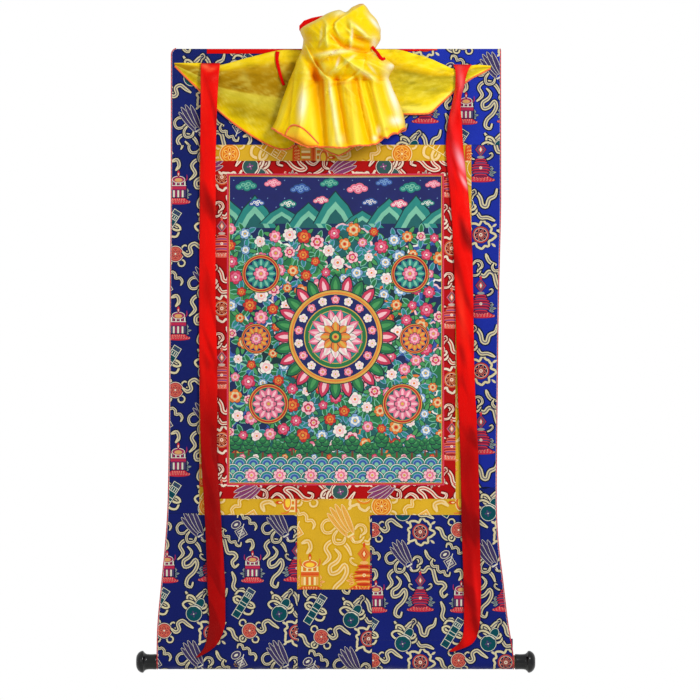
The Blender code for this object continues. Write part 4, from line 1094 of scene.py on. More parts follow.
def cloth_finish(name, pitch, turn=0.0, thread_rough=0.62, ground_rough=0.42, mottle=0.16, mottle_size=0.06,
                 relief=0.35, **values):
    """Woven cloth: dyed threads, a satin ground and floats of pattern thread."""
    if name in bpy.data.materials:
        return bpy.data.materials[name]
    material, tree, shader = new_finish(name, **values)
    thread = node(tree, "ShaderNodeAttribute", attribute_name="thread").outputs["Fac"]
    weave = use_group(tree, weave_group(), Pitch=pitch, Turn=turn, Unevenness=0.6)
    mottled = use_group(tree, mottle_group(), Amount=mottle, Size=mottle_size, Color=dye_and_painted_light_of(tree),
                        Shade=weave["Shade"])
    rough = maths(tree, "MULTIPLY_ADD", thread, thread_rough - ground_rough, ground_rough)
    wrinkle = use_group(tree, wrinkle_group(), Size=0.05, Across=1.0)["Height"]
    lifted = maths(tree, "MULTIPLY_ADD", wrinkle, 1.6, weave["Height"])
    end_finish(tree, shader, mottled["Color"], rough, maths(tree, "MULTIPLY_ADD", thread, 0.35, lifted), relief,
               0.00035)
    return material


def silk_finish(name, colour, pitch, rough=0.32, relief=0.3, across=1.0, wrinkle=0.012, depth=0.0008,
                mottle=0.12, **values):
    """Smooth silk or satin: fine threads and small wrinkles; where no colour is given, it takes its mesh's colours,
    which hold painted light and shade.
    """
    material, tree, shader = new_finish(name, **values)
    weave = use_group(tree, weave_group(), Pitch=pitch, Unevenness=0.4)
    mottled = use_group(tree, mottle_group(), Amount=mottle, Size=0.03, Shade=weave["Shade"],
                        Color=(*colour, 1.0) if colour else dye_and_painted_light_of(tree))
    glossy = maths(tree, "MULTIPLY_ADD", mottled["Patches"], 0.16, rough - 0.08)
    folds = use_group(tree, wrinkle_group(), Size=wrinkle, Across=across)["Height"]
    height = maths(tree, "MULTIPLY_ADD", folds, 1.0, maths(tree, "MULTIPLY", weave["Height"], 0.12))
    end_finish(tree, shader, mottled["Color"], glossy, height, relief, depth)
    return material


def between(tree, part, dark, colour):
    """A mix of a colour and its darker one by a mask."""
    return node(tree, "ShaderNodeMix", {0: part, 6: (*darker(colour, dark), 1.0), 7: (*colour, 1.0)},
                data_type="RGBA").outputs[2]


def cord_finish(name, colour, dark):
    """A cord's twist: slanted turns of thread, with painted shade between them."""
    material, tree, shader = new_finish(name, Roughness=0.55, Sheen_Weight=0.2)
    twist = node(tree, "ShaderNodeTexWave", {"Vector": object_place(tree), "Scale": 70.0, "Distortion": 0.5},
                 wave_type="BANDS", bands_direction="DIAGONAL").outputs["Fac"]
    mottled = use_group(tree, mottle_group(), Amount=0.2, Size=0.02, Color=between(tree, twist, dark, colour))
    end_finish(tree, shader, mottled["Color"], None, twist, 0.6, 0.0004)
    return material


def lacquer_finish(colour):
    """Black gloss lacquer with faint turning lines and rubbed patches."""
    material, tree, shader = new_finish("black_gloss_lacquer", Coat_Weight=0.3, Coat_Roughness=0.12,
                                        Specular_IOR_Level=0.25)
    lines = node(tree, "ShaderNodeTexWave", {"Vector": object_place(tree), "Scale": 240.0, "Distortion": 1.5},
                 wave_type="BANDS", bands_direction="X").outputs["Fac"]
    mottled = use_group(tree, mottle_group(), Amount=0.7, Size=0.012, Color=(*colour, 1.0))
    rough = maths(tree, "MULTIPLY_ADD", mottled["Patches"], 0.22, 0.12)
    end_finish(tree, shader, mottled["Color"], rough, lines, 0.06, 0.0002)
    return material


def timber_finish(colour):
    """Bare turned wood with its grain along the rod."""
    material, tree, shader = new_finish("bare_timber", Roughness=0.6)
    stretch = node(tree, "ShaderNodeVectorMath", {0: object_place(tree), 1: (6.0, 120.0, 120.0)},
                   operation="MULTIPLY").outputs[0]
    grain = node(tree, "ShaderNodeTexNoise", {"Vector": stretch, "Scale": 1.0, "Detail": 6.0}).outputs["Fac"]
    end_finish(tree, shader, between(tree, grain, 0.45, colour), None, grain, 0.3, 0.0003)
    return material


# Settings a user would change

def length_setting(name, description, default, low=0.0, high=20.0):
    """A length in metres."""
    return FloatProperty(name=name, description=description, default=default, min=low, max=high,
                         unit="LENGTH", subtype="DISTANCE", precision=4)


def colour_setting(name, description, red, green, blue):
    """A screen colour from values up to 255."""
    return FloatVectorProperty(name=name, description=description, size=3, min=0.0, max=1.0,
                               subtype="COLOR_GAMMA", default=(red / 255, green / 255, blue / 255))


class ScrollSizes(PropertyGroup):
    """Sizes of the weave, pattern and trimmings."""

    repeat_width: length_setting("Repeat width", "Width of one repeat of the brocade", 0.181, 0.05, 1.0)
    repeat_height: length_setting("Repeat height", "Height of one repeat of the brocade", 0.276, 0.05, 1.0)
    brocade_pitch: length_setting("Brocade pitch", "Distance between threads of brocade", 0.0007, 0.0002, 0.005)
    silk_pitch: length_setting("Silk pitch", "Distance between threads of silk", 0.0004, 0.0002, 0.005)
    overlock: length_setting("Overlock", "Radius of the overlocked edge of the veil", 0.0019, 0.0003, 0.003)
    stitch: length_setting("Stitch", "Length of one stitch of the seams", 0.0032, 0.001, 0.01)
    cloth_step: length_setting("Cloth step", "Distance between points across the hanging cloth", 0.012, 0.004, 0.05)
    silk_thickness: length_setting("Silk thickness", "Thickness of the veil", 0.0005, 0.0002, 0.002)
    camera_distance: length_setting("Camera distance", "Distance from the wall to the camera", 10.0, 3.0, 30.0)
    view_width: length_setting("View width", "Width that the picture shows at the wall", 1.4875, 0.5, 5.0)
    turned_steps: IntProperty(name="Turned steps", description="Faces round a roller end", default=72, min=16,
                              max=256)


class ScrollColours(PropertyGroup):
    """Colours of the cloths and trimmings."""

    # The mount's ground as a shaded and a lit copy of one satin; each piece blends them as painted sheen
    blue_ground: colour_setting("Blue ground", "Satin ground of the mount, away from the light", 13, 14, 82)
    blue_sheen: colour_setting("Blue sheen", "Satin ground of the mount, towards the light", 23, 38, 160)
    crimson_ground: colour_setting("Crimson ground", "Ground of the inner frame", 172, 6, 14)
    yellow_ground: colour_setting("Yellow ground", "Ground of the outer frame and the patch", 216, 168, 34)
    frame_line: colour_setting("Frame line", "Narrow fold round the picture", 214, 60, 90)
    # The veil's fold colour is painted shade in its hollows, its crest colour a painted highlight on its creases
    silk: colour_setting("Silk", "Veil in full light", 255, 216, 4)
    silk_fold: colour_setting("Silk fold", "Veil deep in its folds", 236, 120, 4)
    silk_crest: colour_setting("Silk crest", "Veil on its sharp creases", 255, 244, 110)
    silk_flap: colour_setting("Silk turned back", "Hem of the veil where it is folded over", 252, 212, 48)
    overlock: colour_setting("Overlock", "Overlocked edge of the veil", 255, 112, 30)
    satin: colour_setting("Satin", "Streamers, ties and tape", 240, 8, 6)
    # The satin's fold colour is painted shade
    satin_fold: colour_setting("Satin fold", "Streamers where they turn from the light", 140, 0, 6)
    piping: colour_setting("Piping", "Cord along the sides", 214, 30, 40)
    lacquer: colour_setting("Lacquer", "Roller ends", 5, 6, 9)
    timber: colour_setting("Timber", "Roller rod", 150, 104, 62)
    wall_light: colour_setting("Surroundings", "Plain light all round", 255, 255, 255)


def sizes():
    """The sizes that the user set."""
    return bpy.context.scene.scroll_sizes


def colour(name):
    """A set colour, as the scene's linear one."""
    return linear(tuple(getattr(bpy.context.scene.scroll_colours, name)))


# Pieces

def brocade_repeat():
    """The drawing of one repeat with its size in millimetres."""
    size = (sizes().repeat_width / MM, sizes().repeat_height / MM)
    return draw_repeat(*size), size


BROCADE_SHEEN = {"blue": (0.16, 0.3, 1.0, 1.0), "crimson": (1.0, 0.14, 0.1, 1.0), "yellow": (1.0, 0.75, 0.2, 1.0)}


def brocade_finish(cloth, quarter_turns=0):
    """The woven finish of one colourway."""
    name = cloth + "_brocade_weave" + ("_turned" if quarter_turns else "")
    return cloth_finish(name, sizes().brocade_pitch, turn=math.pi / 2 * abs(quarter_turns),
                        Specular_IOR_Level=0.5, Specular_Tint=BROCADE_SHEEN[cloth])


def mount_outline():
    """Outline of the mount's flat cloth, in millimetres, anticlockwise from its top left."""
    heights = [0.0, -1.5, -4.0, -7.0, -11.0] + spaced(-20.0, ROD_HEIGHT / MM, 128)
    heights += spaced(ROD_HEIGHT / MM, CLOTH_END / MM, 8)[1:]
    lowest = ROD_HEIGHT
    left = [(edge_at(max(z * MM, lowest), "left") / MM, z) for z in heights]
    right = [(edge_at(max(z * MM, lowest), "right") / MM, z) for z in heights]
    return left + right[::-1]


# Pieces that the mount is sewn from: edges, the top left corner of a repeat, its scale,
# and how much painted sheen its satin ground gets
Cloth = namedtuple("Cloth", "left right foot top corner_x corner_z scale nap")
MOUNT_CLOTHS = tuple(starmap(Cloth, (
    (-400, 0, -204, 1, -385.5, -97.3, 1.0, 0.03), (0, 400, -204, 1, 254.4, 15.3, 1.0, 0.95),
    (-400, 0, -985, -204, -357.2, -146.0, 1.046, 0.0), (0, 400, -931, -204, 185.9, -101.2, 1.046, 0.66),
    (-400, -80.5, CLOTH_END / MM, -985, -17.6, -956.7, 1.0, 0.02),
    (-80.5, 76.9, CLOTH_END / MM, -985, -46.9, -969.9, 1.0, 0.0),
    (76.9, 400, CLOTH_END / MM, -931, 62.7, -1019.8, 1.0, 0.16),
)))
MOUNT_SEAM = 0.9


def mount_shapes():
    """The pattern of each piece of the mount, and the seams between them."""
    repeat, size = brocade_repeat()
    shapes = []
    for number, cloth in enumerate(MOUNT_CLOTHS):
        area = (cloth.left, cloth.right, cloth.foot, cloth.top)
        shapes.append(Shape("ground_%d" % number, box(*area), area))
        shapes.extend(lay_repeat(repeat, size, (cloth.corner_x, cloth.corner_z), area, cloth.scale))
    for cloth in MOUNT_CLOTHS:
        if cloth.left > -400:
            shapes.append(Shape("edge", box(cloth.left, cloth.left + MOUNT_SEAM, cloth.foot, cloth.top)))
        if cloth.top < 0:
            shapes.append(Shape("edge", box(cloth.left, cloth.right, cloth.top - MOUNT_SEAM, cloth.top)))
    return shapes


def build_mount():
    """The blue brocade with its window, hem and sleeve."""
    outline = mount_outline()
    window = [(x / MM, z / MM) for x, z in ((-WINDOW_SIDE, WINDOW_TOP), (-WINDOW_SIDE, WINDOW_FOOT),
                                           (WINDOW_SIDE, WINDOW_FOOT), (WINDOW_SIDE, WINDOW_TOP))]
    inner = WINDOW_SIDE / MM
    top, foot = WINDOW_TOP / MM, WINDOW_FOOT / MM
    shapes = [shape for shape in mount_shapes() if any(
        abs(x) > inner or z > top or z < foot for x, z in shape.points)]

    def is_cloth(x, z):
        if abs(x) <= inner and foot <= z <= top:
            return False
        height = max(z * MM, ROD_HEIGHT)
        return edge_at(height, "left") / MM < x < edge_at(height, "right") / MM

    def place(x, z, front):
        if front:
            return on_mount(x, z, CLOTH)
        if z > -HEM_HEIGHT + 0.0001:
            return Vector((x, 0.0, z))
        return on_mount(x, z, 0.0)

    hem = -HEM_HEIGHT / MM
    ground = colour("blue_ground")
    threads = dict(BLUE_THREADS)
    # Each piece's ground is painted sheen: the shaded ground blended towards the lit one
    for number, cloth in enumerate(MOUNT_CLOTHS):
        threads["ground_%d" % number] = blend_colours(ground, colour("blue_sheen"), cloth.nap)
    mesh, flat_area = pattern_mesh("brocade_mount", outline, window, shapes, threads, ground, darker(ground, 0.7),
                                   place, sizes().cloth_step / MM, (hem + 0.2, hem - 0.2), is_cloth)
    mount = add_piece(mesh, brocade_finish("blue"), "blue_brocade", "blue_mount")


def strip_boxes():
    """Each strip of the frames as name, colourway and its left, right, top and foot."""
    lap = SEAM - JOIN
    frames = (
        ("red_border", "crimson", PICTURE_WIDTH / 2 - lap, RED_OUTER, PICTURE_TOP - lap, PICTURE_FOOT + lap,
         RED_OUTER_TOP, RED_OUTER_FOOT),
        ("yellow_border", "yellow", RED_OUTER, WINDOW_SIDE, RED_OUTER_TOP, RED_OUTER_FOOT, WINDOW_TOP, WINDOW_FOOT),
    )
    for name, cloth, inner, outer, top, foot, outer_top, outer_foot in frames:
        yield name + "_top", cloth, (-outer + JOIN, outer - JOIN, outer_top - JOIN, top)
        yield name + "_bottom", cloth, (-outer + JOIN, outer - JOIN, foot, outer_foot + JOIN)
        yield name + "_left", cloth, (-outer + JOIN, -inner, top - JOIN, foot + JOIN)
        yield name + "_right", cloth, (inner, outer - JOIN, top - JOIN, foot + JOIN)


FRAME_LINE = 2.6


def picture_line(side, area):
    """The narrow pink fold on the strip's edge that meets the picture, in millimetres."""
    left, right, top, foot = area
    half = PICTURE_WIDTH / 2 / MM + FRAME_LINE
    return {"top": box(-half, half, foot, foot + FRAME_LINE), "bottom": box(-half, half, top - FRAME_LINE, top),
            "left": box(right - FRAME_LINE, right, foot, top),
            "right": box(left, left + FRAME_LINE, foot, top)}[side]


def build_strip(name, cloth, limits, corner, scale, turn=0, lift=0.0, thickness=CLOTH, line=None):
    """One flat strip or patch of brocade that hangs with the mount."""
    repeat, size = brocade_repeat()
    threads = YELLOW_THREADS if cloth == "yellow" else CRIMSON_THREADS
    left, right, top, foot = (value / MM for value in limits)
    shapes = lay_repeat(repeat, size, corner, (left, right, foot, top), scale, turn)
    ground = colour(cloth + "_ground")
    if line:
        threads = {**threads, "fold": colour("frame_line")}
        shapes.append(Shape("fold", line))

    def place(x, z, front):
        return Vector((x, -back_of_mount(x, z) - lift - (thickness if front else 0.0), z))

    mesh, _ = pattern_mesh("woven_" + name, box(left, right, foot, top), None, shapes, threads, ground,
                           darker(ground, 0.6), place, sizes().cloth_step / MM)
    piece = add_piece(mesh, brocade_finish(cloth, turn), cloth + "_brocade", name)


# How the brocade lies on each strip: the corner of a repeat, its scale and its quarter turn
Lay = namedtuple("Lay", "corner_x corner_z scale turn")
STRIP_LAYS = {
    "red_border_top": Lay(350.3, -168.7, 1.026, -1),
    "red_border_bottom": Lay(-237.7, -1021.3, 1.026, 1),
    "red_border_left": Lay(-359.4, -267.6, 1.01, 0),
    "red_border_right": Lay(128.3, -697.6, 1.01, 0),
    "yellow_border_top": Lay(142.6, -200.6, 1.326, -1),
    "yellow_border_bottom": Lay(96.4, -993.2, 1.326, 1),
    "yellow_border_left": Lay(-300.0, -330.0, 1.326, 0),
    "yellow_border_right": Lay(196.0, -300.0, 1.326, 0),
}


def build_frames():
    """The two frames of brocade strips round the picture."""
    for name, cloth, limits in strip_boxes():
        lay = STRIP_LAYS[name]
        side = name.rsplit("_", 1)[1]
        line = picture_line(side, [value / MM for value in limits]) if cloth == "crimson" else None
        build_strip(name, cloth, limits, (lay.corner_x, lay.corner_z), lay.scale, lay.turn, line=line)


def build_patch():
    """The yellow patch below the picture."""
    limits = (PATCH_LEFT, PATCH_RIGHT, PATCH_TOP, PATCH_FOOT)
    scale = 1.22
    corner = (PATCH_LEFT / MM + 27.0 - 23.0 * scale, PATCH_FOOT / MM + 30.0 + 145.0 * scale)
    build_strip("door_patch", "yellow", limits, corner, scale, 0, CLOTH + SEAM, SATIN)


# The picture: a garden of lotus, clouds and water round a flower wheel

PICTURE_PAINTS = paints(
    "ground deep night teal mint green dark leaf pink rose blush white red orange gold sand blue sky brown",
    (20, 92, 92), (12, 34, 84), (20, 28, 96), (30, 130, 122), (120, 190, 160), (30, 112, 64), (8, 44, 52),
    (70, 150, 84), (226, 110, 140), (200, 50, 84), (244, 190, 196), (236, 232, 220), (190, 40, 34),
    (226, 120, 50), (214, 168, 70), (220, 200, 150), (50, 84, 160), (120, 160, 200), (110, 60, 40))


def rosette(drawing, colour_name, x, z, size, count, turn=0.0, depth=0.24):
    """A flower's outline with rounded petals."""
    ring = []
    for angle in turns(count * 4):
        reach = size * (1.0 - depth + depth * math.sqrt(abs(math.cos(count * angle / 2))))
        ring.append((x + reach * math.cos(angle + turn), z + reach * math.sin(angle + turn)))
    drawing.fill(colour_name, ring)


def paint_flower(drawing, x, z, size, outer, inner, heart, count=6, turn=0.0):
    """An open flower in three rings."""
    rosette(drawing, "dark", x, z, size * 1.1, count, turn)
    rosette(drawing, outer, x, z, size, count, turn)
    rosette(drawing, inner, x, z, size * 0.66, count, turn + math.pi / count)
    drawing.discs(x, z, 8, (outer, size * 0.36))
    drawing.discs(x, z, 6, (heart, size * 0.22))


def paint_spray(drawing, x, z, size, turn, count=5):
    """Leaves that fan out from a stem."""
    for index in range(count):
        angle = turn + (index - (count - 1) / 2) * 0.62
        reach = size * (1.0 - 0.12 * abs(index - (count - 1) / 2))
        drawing.petal("dark", x, z, reach * 1.06, size * 0.42, angle)
        drawing.petal("green" if index % 2 else "leaf", x, z, reach, size * 0.3, angle)


def paint_cloud(drawing, x, z, size, main, light):
    """A curled cloud of overlapping rounds."""
    rounds = ((-1.1, 0, 0.5), (-0.5, 0.3, 0.62), (0.2, 0.42, 0.7), (0.85, 0.15, 0.55), (0, -0.1, 0.6))
    for grow, paint in ((1.14, "dark"), (1.0, main)):
        for dx, dz, radius in rounds:
            drawing.ellipse(paint, x + dx * size, z + dz * size, radius * size * grow, radius * size * grow * 0.8,
                            count=12)
    for dx, dz, radius in rounds:
        for paint, aside, across, high, count in ((light, 1, 0.55, 0.4, 10), (main, 1.03, 0.3, 0.2, 7)):
            drawing.ellipse(paint, x + dx * size * aside, z + dz * size, radius * size * across,
                            radius * size * high, count=count)


def paint_tree(drawing, x, z, size):
    """A round tree of leafy tufts."""
    drawing.fill("brown", [(x - size * 0.08, z), (x + size * 0.08, z), (x + size * 0.05, z + size * 0.6),
                           (x - size * 0.05, z + size * 0.6)])
    tufts = ((-0.34, 0.6, 0.28), (0.34, 0.6, 0.28), (0, 0.78, 0.34), (-0.2, 1.0, 0.26), (0.2, 1.0, 0.26),
             (0, 1.2, 0.22))
    for dx, dz, radius in tufts:
        for paint, up, across, high, count in (("dark", 0, 1.12, 1, 10), ("green", 0.02, 1, 0.85, 10),
                                               ("leaf", 0.08, 0.5, 0.35, 7)):
            drawing.ellipse(paint, x + dx * size, z + dz * size + size * up, radius * size * across,
                            radius * size * high, count=count)


def paint_medallion(drawing, x, z, radius, field, petals, light):
    """A round pond with a ring of petals and a flower."""
    drawing.discs(x, z, 32, ("dark", radius * 1.08), ("gold", radius * 1.04), ("red", radius),
                  ("gold", radius * 0.9), (field, radius * 0.87))
    for angle in turns(12):
        drawing.petal(petals, x, z, radius * 0.5, radius * 0.34, angle, radius * 0.36)
        drawing.petal(light, x, z, radius * 0.4, radius * 0.14, angle, radius * 0.4)
    paint_flower(drawing, x, z, radius * 0.42, "pink", "blush", "gold", 8)


# Clouds over the garden: place from its middle and down from its top, size and two colours
CLOUDS = (
    (-188, 26, 15, "teal", "mint"), (-132, 20, 12, "pink", "blush"), (-74, 32, 14, "blue", "sky"),
    (-12, 20, 13, "teal", "mint"), (48, 32, 15, "pink", "blush"), (104, 18, 12, "blue", "sky"),
    (160, 30, 15, "teal", "mint"), (208, 22, 11, "pink", "blush"), (-166, 62, 11, "blue", "white"),
    (-100, 64, 12, "teal", "white"), (-30, 56, 11, "pink", "white"), (74, 60, 11, "blue", "white"),
    (136, 64, 12, "pink", "white"), (196, 62, 10, "teal", "white"),
)
GOLDEN_TURN = 2.399963


def paint_garden():
    """A generic garden of flowers round a flower wheel, in millimetres from its middle."""
    garden = Drawing()
    half, tall = PICTURE_WIDTH / 2 / MM, (PICTURE_TOP - PICTURE_FOOT) / 2 / MM
    garden.fill("deep", box(-half - 1, half + 1, tall - 300, tall + 1))
    garden.fill("night", box(-half - 1, half + 1, tall - 78, tall + 1))
    for row in range(4):
        for column in range(-6, 7):
            garden.discs(column * 36 + 18 * (row % 2), tall - 12 - 19 * row, 5, ("sky", 1.2))
    # peaks behind the garden
    for hill in range(9):
        x = -half + hill * (2 * half / 8)
        high = 52 + 18 * math.sin(hill * 2.1)
        base = tall - 104 - 9 * (hill % 2)
        for colour_name, part in (("dark", 1.06), ("teal", 1.0), ("mint", 0.7), ("ground", 0.46)):
            garden.fill(colour_name, [(x - 46 * part, base), (x - 24 * part, base + high * 0.6 * part),
                                      (x - 9 * part, base + high * 0.84 * part), (x, base + high * part),
                                      (x + 11 * part, base + high * 0.8 * part),
                                      (x + 26 * part, base + high * 0.56 * part), (x + 46 * part, base)])
    for x, down, size, main, light in CLOUDS:
        paint_cloud(garden, x, tall - down, size, main, light)
    # flowers among leaves, thick over the whole field
    kinds = (("pink", "blush", "gold"), ("white", "blush", "orange"), ("rose", "pink", "white"),
             ("orange", "sand", "red"), ("blush", "rose", "gold"), ("sky", "white", "gold"),
             ("red", "orange", "gold"))
    places = []
    for index in range(300):
        reach = 17.4 * math.sqrt(index + 4.5)
        angle = index * GOLDEN_TURN
        places.append((reach * math.cos(angle) * 0.98, -14 + reach * math.sin(angle) * 1.18))
    places = [(x, z) for x, z in places if abs(x) < half - 4 and -tall + 66 < z < tall - 108]
    places.sort(key=lambda spot: -spot[1])
    for number in range(52):
        reach = 40 * math.sqrt(number + 3.0)
        angle = number * GOLDEN_TURN + 0.7
        x, z = reach * math.cos(angle), -10 + reach * math.sin(angle) * 1.1
        if abs(x) < half + 20 and -tall + 40 < z < tall - 122:
            size = 43 + 8 * math.sin(number * 1.7)
            rim = ("mint", "blush", "sky", "orange", "white")[number % 5]
            band, heart = (("teal", "ground"), ("green", "dark"), ("blue", "deep"), ("leaf", "green"))[number % 4]
            for colour_name, part in (("dark", 1.03), (rim, 1.0), (band, 0.9), (heart, 0.7)):
                rosette(garden, colour_name, x, z, size * part, 9, number, 0.14)
    for number, (x, z) in enumerate(places):
        for leaf in range(4):
            angle = number * 1.3 + leaf * math.tau / 4
            edge, fill = (("mint", "green"), ("dark", "leaf"), ("sky", "teal"))[(number + leaf) % 3]
            garden.petal(edge, x, z, 25, 11.5, angle, 2)
            garden.petal(fill, x, z, 22.5, 8, angle, 3)
    for number, (x, z) in enumerate(places):
        size = (12.0, 15.0, 10.0, 13.0)[number % 4]
        paint_flower(garden, x, z, size, *kinds[(number * 3) % 7], count=5 + number % 3, turn=number)
    for x, z, radius, *shades in ((158, 118, 38, "deep", "teal", "mint"), (168, -20, 30, "night", "orange", "gold"),
                                  (142, -158, 40, "ground", "pink", "blush")):
        paint_medallion(garden, -x, z, radius, *shades)
        paint_medallion(garden, x, z, radius, *shades)
    # the great flower wheel
    cx, cz = 0.0, -16.0
    for index, angle in enumerate(turns(28)):
        garden.petal("dark", cx, cz, 50, 25, angle, 84)
        garden.petal("green" if index % 2 else "rose", cx, cz, 46, 21, angle, 84)
        garden.petal("leaf" if index % 2 else "blush", cx, cz, 34, 9, angle, 88)
    garden.discs(cx, cz, 56, ("dark", 101), ("gold", 99), ("orange", 95), ("gold", 92), ("night", 90))
    for index, angle in enumerate(turns(18, 0.5)):
        paint_flower(garden, cx + 79 * math.cos(angle), cz + 79 * math.sin(angle), 9.5,
                     "white" if index % 2 else "pink", "blush", "gold", 5, angle)
    garden.discs(cx, cz, 44, ("gold", 67), ("green", 65), ("gold", 57), ("teal", 55.5))
    for count, reach, wide, main, light in ((16, 54, 23, "pink", "blush"), (12, 41, 21, "white", "blush"),
                                            (8, 28, 20, "orange", "gold")):
        for angle in turns(count, 0.5 * (count % 3)):
            garden.petal("dark", cx, cz, reach + 1, wide, angle, 4)
            garden.petal(main, cx, cz, reach, wide * 0.86, angle, 5)
            garden.petal(light, cx, cz, reach * 0.86, wide * 0.34, angle, 9)
    garden.discs(cx, cz, 16, ("dark", 13.5), ("green", 12.5), ("gold", 7.5), ("red", 3.5))
    # trees on the bank, then the water in rows of scales
    garden.fill("green", box(-half - 1, half + 1, -tall + 40, -tall + 66))
    for index, x in enumerate((-212, -184, -154, -122, -92, -60, -28, 4, 36, 68, 98, 130, 162, 190, 214)):
        paint_tree(garden, x, -tall + 56 + 5 * math.sin(index * 2.0), 27 if index % 2 else 34)
        paint_flower(garden, x + 15, -tall + 58, 6.5, *kinds[index % 7], count=5)
    for row in range(4):
        level = -tall + 46 - row * 15
        for column in range(-8, 9):
            x = column * 29.0 + (14.5 if row % 2 else 0.0)
            garden.discs(x, level - 4, 18, ("dark", 17.2), ("white", 16.0), ("teal", 14.6), ("sky", 10.4),
                         ("blue", 8.8), ("mint", 4.4))
    for x in (-178, -118, -52, 12, 78, 146, 200):
        paint_spray(garden, x, -tall + 13, 22, math.pi / 2, 5)
        paint_flower(garden, x, -tall + 19, 14, "blush", "pink", "gold", 8, 0.3)
    # a plain painted edge
    for wide, colour_name in ((3.6, "gold"), (2.2, "red")):
        garden.fill(colour_name, box(-half - 1, -half + wide, -tall - 1, tall + 1))
        garden.fill(colour_name, box(half - wide, half + 1, -tall - 1, tall + 1))
        garden.fill(colour_name, box(-half - 1, half + 1, tall - wide, tall + 1))
        garden.fill(colour_name, box(-half - 1, half + 1, -tall - 1, -tall + wide))
    return garden


def build_picture():
    """The painted cloth inside the frames."""
    half = PICTURE_WIDTH / 2
    left, right = (-half + SEAM) / MM, (half - SEAM) / MM
    top, foot = (PICTURE_TOP - SEAM) / MM, (PICTURE_FOOT + SEAM) / MM
    middle = (PICTURE_TOP + PICTURE_FOOT) / 2 / MM
    shapes = [Shape(shape.colour, [(x, z + middle) for x, z in shape.points]) for shape in paint_garden().shapes]

    def place(x, z, front):
        return Vector((x, -back_of_mount(x, z) - (SATIN if front else 0.0), z))

    mesh, _ = pattern_mesh("painted_picture", box(left, right, foot, top), None, shapes, PICTURE_PAINTS,
                           PICTURE_PAINTS["ground"], tone(206, 196, 170), place, 14.0)
    finish = cloth_finish("painted_cotton", 0.0005, thread_rough=0.7, ground_rough=0.7, mottle=0.22,
                          mottle_size=0.02, relief=0.25, Specular_IOR_Level=0.3)
    piece = add_piece(mesh, finish, "picture_cloth", "painting_panel")


# Cords, stitches and the roller

def tube_points(path, radius, sides):
    """Points and faces of a tube along a path."""
    points, faces = [], []
    last = len(path) - 1
    for index, centre in enumerate(path):
        run = (path[min(index + 1, last)] - path[max(index - 1, 0)]).normalized()
        side = run.cross(Vector((0.0, 1.0, 0.0)))
        if side.length < 0.05:
            side = run.cross(Vector((1.0, 0.0, 0.0)))
        side.normalize()
        up = side.cross(run)
        for angle in turns(sides):
            points.append(centre + (side * math.cos(angle) + up * math.sin(angle)) * radius)
    for index in range(last):
        for step in range(sides):
            a, b = index * sides + step, index * sides + (step + 1) % sides
            faces.append((a, b, b + sides, a + sides))
    faces.append(tuple(range(sides))[::-1])
    faces.append(tuple(last * sides + step for step in range(sides)))
    return points, faces


def join_tubes(name, paths, radius, sides=8):
    """One mesh of several tubes."""
    points, faces = [], []
    for path in paths:
        join_mesh(points, faces, *tube_points(path, radius, sides))
    mesh = smooth_mesh(name, points, faces)
    mesh.validate()
    mesh.set_sharp_from_angle(angle=math.radians(60))
    return mesh


def build_piping():
    """The red cord along both sides, down round the sleeve."""
    lift = PIPING_RADIUS + SEAM
    finish = cord_finish("piping_cord", colour("piping"), 0.45)
    heights = [0.0, -0.0015, -0.004, -0.007, -0.011] + spaced(-0.02, ROD_HEIGHT, 150)
    for side, sign in (("left", -1), ("right", 1)):
        edge = [(edge_at(z, side), z) for z in heights]
        path = []
        for index, (x, z) in enumerate(edge):
            before, after = edge[max(index - 1, 0)], edge[min(index + 1, len(edge) - 1)]
            run = (after[0] - before[0], after[1] - before[1])
            out = sign * lift / math.hypot(*run)
            path.append(Vector((x - run[1] * out, -back_of_mount(x, z) - CLOTH / 2, z + run[0] * out)))
        radius = SLEEVE_RADIUS + PIPING_RADIUS
        for angle in spaced(0.0, math.radians(80), 10)[1:]:
            path.append(Vector((edge_at(ROD_HEIGHT, side) + sign * lift, -ROD_DEPTH - radius * math.cos(angle),
                                ROD_HEIGHT - radius * math.sin(angle))))
        mesh = join_tubes("piping_" + side, [path], PIPING_RADIUS)
        add_piece(mesh, finish, "red_piping", "edge_piping_" + side)


STITCH_INSET = 0.0022
STITCH_WIDTH = 0.00035
STITCH_RISE = 0.0006


def stitch_line(points, faces, start, end, lift, length):
    """Small raised stitches on the hanging cloth from one place to another."""
    run = (end[0] - start[0], end[1] - start[1])
    whole = math.hypot(*run)
    count = max(1, int(whole / length))
    unit = (run[0] / whole, run[1] / whole)
    for index in range(count):
        centre = (index + 0.5) * whole / count
        reach = length * 0.38
        corners = []
        for along, aside, rise in ((-reach, 0, 0.0), (0, STITCH_WIDTH, 0.0001), (0, -STITCH_WIDTH, 0.0001),
                                   (reach, 0, 0.0), (0, 0, STITCH_RISE)):
            x = start[0] + unit[0] * (centre + along) - unit[1] * aside
            z = start[1] + unit[1] * (centre + along) + unit[0] * aside
            corners.append(Vector((x, -back_of_mount(x, z) - lift - rise, z)))
        first = len(points)
        points.extend(corners)
        for face in ((0, 2, 4), (2, 3, 4), (3, 1, 4), (1, 0, 4)):
            faces.append(tuple(first + corner for corner in face))


